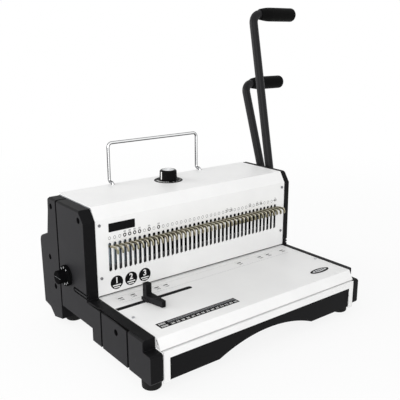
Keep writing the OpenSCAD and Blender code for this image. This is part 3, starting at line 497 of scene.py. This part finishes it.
def thicken(piece, thickness):
    """Closes a flat piece to a film or sheet of the given thickness in millimetres."""
    piece.modifiers.new("weld", "WELD").merge_threshold = weld_gap
    film = piece.modifiers.new("film", "SOLIDIFY")
    film.thickness = thickness / mm_per_metre
    film.offset = -1


def printed(name, shapes, surface, lift, material, body):
    """Flat shapes, given as outlines in millimetres, printed on a surface at a lift in millimetres."""
    points, faces = [], []
    for shape in shapes:
        faces.append(tuple(range(len(points), len(points) + len(shape))))
        points.extend(surface(u, v, lift) for u, v in shape)
    thicken(add_piece(name, points, faces, material, body), ink_thickness)


def bar(x0, x1, y0, y1):
    """Outline of a rectangle."""
    return [(x0, y0), (x1, y0), (x1, y1), (x0, y1)]


def oval(x, y, a, b, steps):
    """Outline of an oval from its middle and its half axes."""
    turns = [2 * math.pi * i / steps for i in range(steps)]
    return [(x + a * math.cos(t), y + b * math.sin(t)) for t in turns]


numeral_shapes = {}
numeral_weight = 0.022
for digit in "0123456789":
    curve = bpy.data.curves.new("numeral", "FONT")
    curve.body = digit
    curve.offset = numeral_weight
    letter = bpy.data.objects.new("numeral", curve)
    scene.collection.objects.link(letter)
    bpy.context.view_layer.update()
    mesh = bpy.data.meshes.new_from_object(letter.evaluated_get(bpy.context.evaluated_depsgraph_get()))
    low, high = (f(v.co.y for v in mesh.vertices) for f in (min, max))
    left = min(v.co.x for v in mesh.vertices)
    flat = [((v.co.x - left) / (high - low), (v.co.y - low) / (high - low)) for v in mesh.vertices]
    outlines = [[flat[i] for i in p.vertices] for p in mesh.polygons]
    numeral_shapes[digit] = (outlines, max(u for u, v in flat))
    bpy.data.meshes.remove(mesh)
    bpy.data.objects.remove(letter)
    bpy.data.curves.remove(curve)


def number(value, x, y, height, turn=1):
    """Outlines of a plain number, centred on a place; its top is where y is larger, or smaller if turned."""
    digits = str(value)
    space = 0.14
    width = sum(numeral_shapes[d][1] for d in digits) + space * (len(digits) - 1)
    shapes, start = [], -width / 2
    for d in digits:
        outlines, wide = numeral_shapes[d]
        for outline in outlines:
            moved = [(x + (start + u) * height, y + turn * (v - 0.5) * height) for u, v in outline]
            shapes.append(moved if turn > 0 else moved[::-1])
        start += wide + space
    return shapes


to_head = -1
rule_left, rule_right, far_line_right = -168, 168, 150
near_line, far_line, hair = 33.4, 12.6, 0.4
rule_lines = [bar(rule_left, rule_right, near_line, near_line + hair),
              bar(rule_left, far_line_right, far_line, far_line + hair)]
tick_foot, tick_top, long_tick_top = 33.6, 31.4, 29.0
for x in range(-165, 166, 5):
    rule_lines.append(bar(x - hair / 2, x + hair / 2, tick_top if x % 50 else long_tick_top, tick_foot))
rule_words, rule_bars = [], []
width_line, width_line_back, width_line_front = 5.4, 14, 29
width_bar, width_bar_back, width_bar_front = 3.8, 17.8, 20.4
width_y, width_height = 24.8, 3.4
sheet_widths = ((-162, 148), (-141, 165), (-99, 182), (-83, 210),
                (66, 297), (112, 330), (132, 364), (165, 390))
for x, width in sheet_widths:
    rule_lines.append(bar(x - width_line, x - width_line + hair, width_line_back, width_line_front))
    rule_words += number(width, x, width_y, width_height, to_head)
    rule_bars.append(bar(x - width_bar, x + width_bar, width_bar_back, width_bar_front))
printed("table_rule", rule_lines, on_table, first_ink, pale_ink, "frame")
printed("table_widths", rule_words, on_table, first_ink, black_ink, "frame")
printed("table_width_bars", rule_bars, on_table, first_ink, black_ink, "frame")

strip_left, strip_right, strip_back, strip_front = -168.0, -32.6, 118.8, 134.0
strip = bar(strip_left, strip_right, strip_back, strip_front)
printed("size_table_ground", [strip], on_table, first_ink, black_ink, "frame")
wire_sizes = (4, 5, 6, 7, 8, 9, 10, 11, 12, 14, 16, 19, 22, 25)
sheet_counts = (20, 25, 30, 35, 40, 45, 50, 55, 60, 65, 70, 75, 80, 90)
cells_left, strip_margin, cell_gap = strip_left + 17, 0.7, 0.5
cell = (strip_right - strip_margin - cells_left) / len(wire_sizes)
cell_back, cell_front = strip_back + 1.6, strip_back + 6.0
wire_y, wire_height, count_y, count_height = strip_back + 4.0, 3.2, strip_back + 11.0, 3.8
header_left, header_right, header_line = strip_left + 2.5, strip_left + 13, 1.1
size_cells, size_wires, size_sheets = [], [], []
for i, (wire, sheets) in enumerate(zip(wire_sizes, sheet_counts)):
    x = cells_left + i * cell
    size_cells.append(bar(x + cell_gap, x + cell - cell_gap, cell_back, cell_front))
    size_wires += number(wire, x + cell / 2, wire_y, wire_height, to_head)
    size_sheets += number(sheets, x + cell / 2, count_y, count_height, to_head)
for y in (2.6, 5.0, 9.4, 11.8):
    size_sheets.append(bar(header_left, header_right, strip_back + y, strip_back + y + header_line))
printed("size_table_cells", size_cells, on_table, second_ink, grey_ink, "frame")
printed("size_table_wires", size_wires, on_table, third_ink, black_ink, "frame")
printed("size_table_sheets", size_sheets, on_table, second_ink, white_ink, "frame")

# Badge. A small oval plate of brushed alloy in a black rim, stuck to the right front corner of the table; its
# face carries five plain printed bars.


def plate_piece(name, outline, surface, base, top, edge, material, body):
    """A thin plate with the given outline, from one height over a surface to another, in millimetres."""
    count = len(outline)
    points = [surface(u, v, base) for u, v in outline] + [surface(u, v, top) for u, v in outline]
    faces = [tuple(range(count, 2 * count)), tuple(reversed(range(count)))]
    faces += [(i, (i + 1) % count, count + (i + 1) % count, count + i) for i in range(count)]
    piece = add_piece(name, points, faces, material, body)
    mend = bmesh.new()
    mend.from_mesh(piece.data)
    bmesh.ops.recalc_face_normals(mend, faces=mend.faces)
    mend.to_mesh(piece.data)
    mend.free()
    soften(piece, edge)


alloy, alloy_shader, spot = finish("brushed_alloy")
alloy_lines = speckle(spot, 0.5, 2.0, stretch=(0.05, 1.0, 1.0))
alloy_dark, alloy_pale = (0.56, 0.57, 0.58, 1), (0.72, 0.73, 0.74, 1)
spot.plug(alloy_shader, {
    "Base Color": alloy_lines.step(0.3, 0.7).blend(alloy_dark, alloy_pale),
    "Metallic": 1.0,
    "Roughness": 0.28 + 0.14 * alloy_lines,
    "Normal": relief(spot, alloy_lines, 0.01, 0.4)})
badge_x, badge_y, smooth_steps = 146, 125, 64
rim_across, rim_along, rim_top, rim_edge = 20.3, 7.0, 0.5, 0.15
face_across, face_along, face_base, face_top, face_edge = 15.4, 3.6, 0.4, 0.65, 0.08
badge_rim = oval(badge_x, badge_y, rim_across, rim_along, smooth_steps)
badge_face = oval(badge_x, badge_y, face_across, face_along, smooth_steps)
plate_piece("badge_rim", badge_rim, on_table, 0.0, rim_top, rim_edge, black_ink, "frame")
plate_piece("badge_face", badge_face, on_table, face_base, face_top, face_edge, alloy,
            "frame")
bar_width, bar_half, bar_lift = 3.0, 2.0, 0.68
bar_lefts = [badge_x + u for u in (-11.0, -6.2, -1.5, 3.2, 8.0)]
badge_bars = [bar(x, x + bar_width, badge_y - bar_half, badge_y + bar_half) for x in bar_lefts]
printed("badge_bars", badge_bars, on_table, bar_lift, black_ink, "frame")

# Apron and fascia. A white coated steel frame closes the front below the lip, its inner side painted dark as
# painted shade, and a black moulded panel with a shallow arch along its lower edge fills it from behind.


def moulding(name, outer=None):
    """Black moulded skin, its end faces painted lighter as painted light and its edges given a painted
    highlight; deeper than outer, a cover's outside X, the end faces are painted darker and dull as painted
    shade.
    """
    material, shader, spot = finish(name)
    spark = speckle(spot, 0.55, 2.0)
    flow = speckle(spot, 30.0, 3.0)
    scuff = speckle(spot, 3.0, 4.0, stretch=(1.0, 0.4, 0.4))
    turn = facing(spot).part("X")
    end_face = (turn * turn).step(0.7, 0.95)
    # Painted light: faces that look along X are painted lighter than the rest of the skin.
    skin_black, end_painted_light = (0.0042, 0.0042, 0.0047, 1), (0.0165, 0.0162, 0.0178, 1)
    highlight_and_scuff_grey = (0.05, 0.0495, 0.053, 1)
    tone = end_face.blend(skin_black, end_painted_light)
    # Painted highlight along the edges, with real scuffs and flow marks.
    edge_highlight_and_scuff = 0.6 * edge_share(spot, 1.2) + 0.12 * scuff.step(0.62, 0.8) + 0.05 * flow
    grain = relief(spot, spark, 0.05, 0.35)
    spot.plug(shader, {
        "Base Color": edge_highlight_and_scuff.blend(tone, highlight_and_scuff_grey),
        "Roughness": 0.42 + 0.1 * flow + 0.08 * spark,
        "Specular IOR Level": 0.07,
        "Normal": grain})
    if outer is not None:
        # Painted shade: groove and pocket floors deeper than the outside get a darker, dull shader.
        groove_top, groove_floor = 0.0012, 0.0018
        groove_shade_black, groove_shade_pale = (0.002, 0.002, 0.0022, 1), (0.004, 0.004, 0.0043, 1)
        depth = (spot.part("X") - outer) * math.copysign(1, -outer)
        dull = spot.node("BsdfPrincipled", None, {
            "Base Color": flow.blend(groove_shade_black, groove_shade_pale),
            "Roughness": 0.7 + 0.1 * spark,
            "Specular IOR Level": 0.0,
            "Normal": grain})
        sunk = depth.step(groove_top, groove_floor) * end_face
        skin = Field(spot.tree, shader.outputs["BSDF"])
        show(spot.tree, spot.node("MixShader", None, {0: sunk, 1: skin, 2: dull}))
    return material


def inner_side(way, place):
    """1 on the faces that look to the back, painted dark as painted shade."""
    return way["Y"].step(0.6, 0.9)


moulded_black = moulding("moulded_black")
apron_coat = powder_coat("apron_coat", inner_side)
dress(apron_coat, "front_apron", edge=0.45)
dress(moulded_black, "front_fascia", edge=0.5)

# Head cover. One folded sheet, coated white, that forms the slotted face, the slope above it, the flat top
# and the upper back; the slot walls are painted dark as painted shade. Two pan-head screws
# at each end of the face hold it to the chassis.
row_end, face_margin = 0.172, 0.176


def slot_walls(way, place):
    """1 on the faces that look along the head, within the length of the row of slots, painted dark as painted
    shade.
    """
    along = (way["X"] * way["X"]).step(0.5, 0.9)
    return along * (1 - (place["X"] * place["X"]).step(row_end ** 2, face_margin ** 2))


head_coat = powder_coat("head_coat", slot_walls)
dress(head_coat, "head_cover", edge=0.4)
dress(spring_steel, "head_screws", edge=0.2)

# Print on the face. A small blank name plate and three round black labels with a number and two bars each,
# stuck on, and a printed ring over most slots, with the numbers of some slots in black.


def on_face(across, height, out):
    """A place on the slotted face from its millimetres right of the middle, above the table, and out."""
    return across / mm_per_metre, -out / mm_per_metre, table_top + height / mm_per_metre


def rounded(x0, x1, y0, y1, r, steps=5):
    """Outline of a rectangle with rounded corners."""
    corners = ((x1 - r, y0 + r, -90), (x1 - r, y1 - r, 0), (x0 + r, y1 - r, 90), (x0 + r, y0 + r, 180))
    outline = []
    for cx, cy, start in corners:
        for i in range(steps + 1):
            a = math.radians(start + 90 * i / steps)
            outline.append((cx + r * math.cos(a), cy + r * math.sin(a)))
    return outline


def ring(x, y, a, b, line, steps=20):
    """Oval line as a row of four-sided shapes."""
    outer, inner = oval(x, y, a, b, steps), oval(x, y, a - line, b - line, steps)
    return [[outer[i], outer[(i + 1) % steps], inner[(i + 1) % steps], inner[i]] for i in range(steps)]


plate_left, plate_right, plate_foot, plate_head, plate_corner = -166, -122, 96, 109, 0.8
plate_top, plate_edge = 0.4, 0.12
name_plate = rounded(plate_left, plate_right, plate_foot, plate_head, plate_corner)
plate_piece("name_plate", name_plate, on_face, 0.0, plate_top, plate_edge, black_ink,
            "frame")
label_y, label_r, label_top, label_edge, label_ink = 17, 10.5, 0.25, 0.08, 0.28
label_number_y, label_number_height, long_bar, short_bar = 20.4, 9.6, 6.8, 4.8
for count, x in enumerate((-156.0, -131.5, -107.5), 1):
    disc = oval(x, label_y, label_r, label_r, smooth_steps)
    plate_piece(f"round_label_{count}", disc, on_face, 0.0, label_top, label_edge, black_ink,
                "frame")
    label_print = number(count, x, label_number_y, label_number_height)
    label_print.append(bar(x - long_bar, x + long_bar, 11.8, 13.6))
    label_print.append(bar(x - short_bar, x + short_bar, 8.6, 10.2))
    printed(f"round_label_print_{count}", label_print, on_face, label_ink, white_ink, "frame")

slot_pitch, slot_count = 8.467, 40
bold_slots, numbered_slots = (3, 4, 5, 6, 8, 10), (26, 27, 32, 34, 35, 39)
bold_ring, fine_ring = (87.5, 2.8, 3.1, 1.5), (87.2, 2.2, 2.6, 0.6)
number_y, number_height, bold_bar, number_bar = 88.0, 4.6, 2.0, 1.8
grey_rings, black_rings, slot_words = [], [], []
for i in range(slot_count):
    x = (i - (slot_count - 1) / 2) * slot_pitch
    if i in bold_slots:
        black_rings += ring(x, *bold_ring)
        grey_rings += [bar(x - bold_bar, x + bold_bar, y, y + 0.7) for y in (91.8, 93.2)]
    elif i in numbered_slots:
        slot_words += number(i + 1, x, number_y, number_height)
        grey_rings.append(bar(x - number_bar, x + number_bar, 91.6, 92.2))
    else:
        grey_rings += ring(x, *fine_ring)
printed("slot_rings", grey_rings, on_face, first_ink, grey_ink, "frame")
printed("slot_rings_black", black_rings, on_face, first_ink, black_ink, "frame")
printed("slot_numbers", slot_words, on_face, first_ink, black_ink, "frame")

# Side covers and rear housing. Thick black mouldings with a spark-eroded texture and rounded edges, screwed
# to the side plates through deep pockets, and a black housing across the back. The floors of the covers'
# grooves and pockets are painted darker and duller than their outsides, as painted shade.
left_black = moulding("left_cover_black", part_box("left_front_cover")[0].x)
right_black = moulding("right_cover_black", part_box("right_front_cover")[1].x)
dress(left_black, "left_front_cover", "left_rear_cover", edge=1.3, segments=3)
dress(right_black, "right_front_cover", "right_rear_cover", edge=1.3, segments=3)
dress(moulded_black, "rear_housing", edge=0.6)
dress(spring_steel, "cover_screws", edge=0.2)

# Wire rack. One length of bright drawn rod, bent into a loop with two cranked feet that are pressed into
# holes near the back of the head's flat top; a painted reflection makes it bright along its front and
# its back and dark between them.
rack_wire, rack_shader, spot = finish("rack_wire")
rack_drawing = speckle(spot, 0.8, 2.0)
rack_touch = speckle(spot, 16.0, 3.0)
rack_reflection_way = (-0.3, -0.8, 0.3)
rack_dark, rack_touched, rack_painted_reflection = (0.09, 0.091, 0.095, 1), (0.15, 0.152, 0.157, 1), (0.9, 0.905, 0.91, 1)
# Painted reflection: faces turned towards one fixed way are painted bright.
rack_reflection_mask = facing(spot).vector("DOT_PRODUCT", rack_reflection_way, out="Value")
rack_plain = rack_touch.step(0.3, 0.75).blend(rack_dark, rack_touched)
spot.plug(rack_shader, {
    "Base Color": (rack_reflection_mask * rack_reflection_mask).step(0.44, 0.72).blend(rack_plain, rack_painted_reflection),
    "Metallic": 1.0,
    "Roughness": 0.1 + 0.14 * rack_touch,
    "Normal": relief(spot, rack_drawing, 0.008, 0.3)})
dress(rack_wire, "wire_rack")

# Margin dial. A black plate with a white printed scale, a fluted black knob with a white pointer, fixed on
# the spindle, and a spun alloy disc let into the knob's top.
plate_low, plate_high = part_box("dial_plate")
dial_x = (plate_low.x + plate_high.x) / 2
dial_y = (plate_low.y + plate_high.y) / 2
dress(moulded_black, "dial_plate", edge=0.4)


def on_dial(turn, out, up):
    """A place on the dial plate from its degrees, and its millimetres from the spindle and up."""
    a = math.radians(turn)
    x, y = dial_x + out * math.cos(a) / mm_per_metre, dial_y + out * math.sin(a) / mm_per_metre
    return x, y, plate_high.z + up / mm_per_metre


scale_lift = 0.02
wide_mark, wide_in, wide_out = 2, 17.4, 21.6
fine_mark, fine_in, fine_out = 1.2, 18.5, 21.4
scale_marks = [bar(t - wide_mark, t + wide_mark, wide_in, wide_out) for t in range(163, 240, 8)]
scale_marks += [bar(t - fine_mark, t + fine_mark, fine_in, fine_out) for t in range(260, 420, 20)]
printed("dial_scale", scale_marks, on_dial, scale_lift, white_ink, "frame")

knob_low, knob_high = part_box("margin_knob")
knob_r = (knob_high.x - knob_low.x) / 2
knob_rise = knob_high.z - knob_low.z
around, flute_count, flute_depth = 144, 28, 0.0004
knob_rows = (
    (0.0, 0.0, 0),
    (knob_r - 0.0005, 0.0, 0),
    (knob_r, 0.0006, 0),
    (knob_r, 0.0014, 0),
    (knob_r - 0.0004, 0.0022, 1),
    (knob_r - 0.0008, knob_rise - 0.0024, 1),
    (knob_r - 0.0012, knob_rise - 0.0008, 0),
    (knob_r - 0.0018, knob_rise - 0.0001, 0),
    (knob_r - 0.0025, knob_rise, 0),
    (knob_r - 0.0034, knob_rise, 0),
    (knob_r - 0.0036, knob_rise - 0.0004, 0),
    (0.0, knob_rise - 0.0004, 0),
)
points, faces = [], []
for r, z, fluted in knob_rows:
    for i in range(around):
        a = 2 * math.pi * i / around
        out = r - fluted * flute_depth * (1 - math.cos(flute_count * a))
        points.append((dial_x + out * math.cos(a), dial_y + out * math.sin(a), knob_low.z + z))
for row in range(len(knob_rows) - 1):
    for i in range(around):
        j = (i + 1) % around
        faces.append((row * around + i, row * around + j, (row + 1) * around + j, (row + 1) * around + i))
knob_gloss, gloss_shader, spot = finish("knob_gloss")
knob_grain = speckle(spot, 0.5, 2.0)
knob_touch = speckle(spot, 5.0, 3.0)
gloss_black, gloss_edge = (0.0016, 0.0016, 0.0018, 1), (0.009, 0.009, 0.0095, 1)
spot.plug(gloss_shader, {
    "Base Color": (0.5 * edge_share(spot, 0.6) + 0.2 * knob_touch).blend(gloss_black, gloss_edge),
    "Roughness": 0.26 + 0.2 * knob_touch,
    "Specular IOR Level": 0.06,
    "Normal": relief(spot, knob_grain, 0.02, 0.3)})
fluted_knob = add_piece("fluted_knob", points, faces, knob_gloss, "margin_dial")
pole_gap = 0.000001
mend = bmesh.new()
mend.from_mesh(fluted_knob.data)
bmesh.ops.remove_doubles(mend, verts=mend.verts, dist=pole_gap)
bmesh.ops.recalc_face_normals(mend, faces=mend.faces)
for face in mend.faces:
    face.smooth = True
mend.to_mesh(fluted_knob.data)
mend.free()
fluted_knob.modifiers.new("even", "WEIGHTED_NORMAL")
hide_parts("margin_knob")

spun_alloy, spun_shader, spot = finish("spun_alloy")
flat_spot = spot.vector("SUBTRACT", (dial_x, dial_y, 0)).vector("MULTIPLY", (1, 1, 0))
spun_radius = flat_spot.vector("LENGTH", out="Value")
spun_lines = spot.node("TexNoise", {"noise_dimensions": "1D"},
                       {"W": spun_radius, "Scale": 2600.0, "Detail": 2.0})
# Painted highlight: the spun disc is painted brighter along one fixed direction across it.
painted_highlight_way = (0.6, 0.8, 0)
painted_highlight_fan = flat_spot.vector("NORMALIZE").vector("DOT_PRODUCT", painted_highlight_way, out="Value")
disc_edge, rim_start = 0.0094, 0.0104
spun_dark, spun_highlight, spun_rim = (0.42, 0.43, 0.44, 1), (0.92, 0.93, 0.94, 1), (0.008, 0.008, 0.009, 1)
spun_tone = (painted_highlight_fan * painted_highlight_fan * 0.7 + 0.3 * spun_lines).blend(spun_dark, spun_highlight)
spot.plug(spun_shader, {
    "Base Color": spun_radius.step(disc_edge, rim_start).blend(spun_tone, spun_rim),
    "Metallic": 1.0,
    "Roughness": 0.25 + 0.12 * spun_lines,
    "Normal": relief(spot, spun_lines, 0.02, 0.5)})
dress(spun_alloy, "knob_cap", edge=0.15)

pointer_turn, pointer_half, pointer_proud, pointer_thick = 184, 5.0, 0.00015, 0.05
pointer = []
for z, inset in ((0.0016, 0.00035), (knob_rise - 0.0013, 0.0008)):
    for t in (-pointer_half, pointer_half):
        a = math.radians(pointer_turn + t)
        r = knob_r - inset + pointer_proud
        pointer.append((dial_x + r * math.cos(a), dial_y + r * math.sin(a), knob_low.z + z))
knob_pointer = add_piece("knob_pointer", pointer, [(0, 1, 3, 2)], white_ink, "margin_dial")
thicken(knob_pointer, pointer_thick)

# Size knob. A black moulding with a knurled rim and a plain boss, slotted across its end, pinned on the
# spindle that comes out through the left cover; its skin is matt, and a little lighter on the edges.
# Pale marks round its rim are painted glints, and a grey strip in its slot is a painted highlight.
knob_matt, matt_shader, spot = finish("knob_matt")
matt_grain = speckle(spot, 0.5, 2.0)
matt_touch = speckle(spot, 4.0, 3.0)
matt_black, matt_edge = (0.0022, 0.0022, 0.0024, 1), (0.017, 0.017, 0.018, 1)
spot.plug(matt_shader, {
    "Base Color": (0.7 * edge_share(spot, 0.5) + 0.25 * matt_touch).blend(matt_black, matt_edge),
    "Roughness": 0.5 + 0.2 * matt_touch,
    "Specular IOR Level": 0.004,
    "Normal": relief(spot, matt_grain, 0.03, 0.3)})
dress(knob_matt, "size_knob", edge=0.3)
size_low, size_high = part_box("size_knob")
size_y, size_z = (size_low.y + size_high.y) / 2, (size_low.z + size_high.z) / 2
rim_depth, slot_depth, ink_proud = 0.005, 0.0015, 0.00003
rim_face = size_high.x - rim_depth
highlight_x = size_low.x + slot_depth - ink_proud


def on_rim(turn, out, up):
    """A place on the knob's rim from its degrees, and its millimetres from the spindle and out."""
    a = math.radians(turn)
    y, z = size_y + out * math.cos(a) / mm_per_metre, size_z + out * math.sin(a) / mm_per_metre
    return rim_face - up / mm_per_metre, y, z


# Painted glints: pale marks on the rim stand in for light caught by the knurl.
glint_half, glint_in, glint_out = 4, 11.4, 14.2
rim_glints = [bar(t - glint_half, t + glint_half, glint_in, glint_out) for t in (48, 85, 122, 218, 245, 272)]
printed("size_rim_glints", rim_glints, on_rim, first_ink, pale_ink, "size_dial")
# Painted highlight: a grey strip laid in the slot across the knob's end.
highlight_reach, highlight_side, highlight_film = 0.009, 0.0008, 0.02
highlight_corners = bar(-highlight_reach, highlight_reach, -highlight_side, highlight_side)
highlight_points = [(highlight_x, size_y + y, size_z + z) for y, z in highlight_corners]
size_slot_highlight = add_piece("size_slot_highlight", highlight_points, [(0, 1, 2, 3)], grey_ink, "size_dial")
thicken(size_slot_highlight, highlight_film)

# Levers. Each is a round steel bar bent to a handle at the top and welded to a hub on its shaft, stoved
# black, with a rubber grip pushed on.
lever_enamel, lever_shader, spot = finish("lever_enamel")
lever_peel = speckle(spot, 1.8, 2.0)
lever_wear = speckle(spot, 25.0, 4.0)
lever_black, lever_worn = (0.0048, 0.0047, 0.0054, 1), (0.0115, 0.0114, 0.0126, 1)
spot.plug(lever_shader, {
    "Base Color": (0.5 * lever_wear + 0.2 * lever_peel).blend(lever_black, lever_worn),
    "Roughness": 0.36 + 0.16 * lever_wear,
    "Specular IOR Level": 0.2,
    "Normal": relief(spot, lever_peel, 0.04, 0.35)})
dress(lever_enamel, "punch_arm", "closing_arm", edge=0.5)

grip_rubber, grip_shader, spot = finish("grip_rubber")
grip_grain = speckle(spot, 0.8, 3.0)
grip_shine = speckle(spot, 12.0, 3.0)
grip_black, grip_worn = (0.0012, 0.0012, 0.0012, 1), (0.0048, 0.0048, 0.0049, 1)
spot.plug(grip_shader, {
    "Base Color": (0.4 * grip_shine + 0.25 * grip_grain).blend(grip_black, grip_worn),
    "Roughness": 0.48 + 0.22 * grip_shine,
    "Specular IOR Level": 0.05,
    "Normal": relief(spot, grip_grain, 0.06, 0.4)})
dress(grip_rubber, "punch_grip", "closing_grip", edge=0.4)

# Side guide. A black moulded square that slides along the slot in the table, held from below by a steel shoe
# and one screw; a thin black liner in the slot is painted shade that keeps the slot dark.
dress(moulded_black, "side_guide", edge=0.6)
dress(zinc_plate, "guide_shoe", edge=0.2)
dress(screw_steel, "guide_screw", edge=0.2)
# Painted shade: a black liner laid in the table's slot so that the slot reads dark.
liner_left, liner_end, slot_middle = -185.9, -60.0, 49.5
liner_round, liner_rim, liner_top, liner_foot, liner_sheet = 3.27, 0.9, 0.03, -2.2, 0.02
bend_steps = 16


def liner_path(half):
    """Places along a side of the slot, round its closed end and back, at a distance from its middle."""
    turns = [math.pi * i / bend_steps for i in range(bend_steps + 1)]
    bend = [(liner_end + half * math.sin(a), slot_middle + half * math.cos(a)) for a in turns]
    return [(liner_left, slot_middle + half)] + bend + [(liner_left, slot_middle - half)]


wall, brim = liner_path(liner_round), liner_path(liner_round + liner_rim)
span = len(wall)
liner_points = [on_table(u, v, up) for up, row in ((liner_top, wall), (liner_foot, wall), (liner_top, brim))
                for u, v in row]
liner_faces = [(i, i + 1, span + i + 1, span + i) for i in range(span - 1)]
liner_faces += [(i + 1, i, 2 * span + i, 2 * span + i + 1) for i in range(span - 1)]
slot_shade_liner = add_piece("slot_shade_liner", liner_points, liner_faces, moulded_black, "frame")
thicken(slot_shade_liner, liner_sheet)
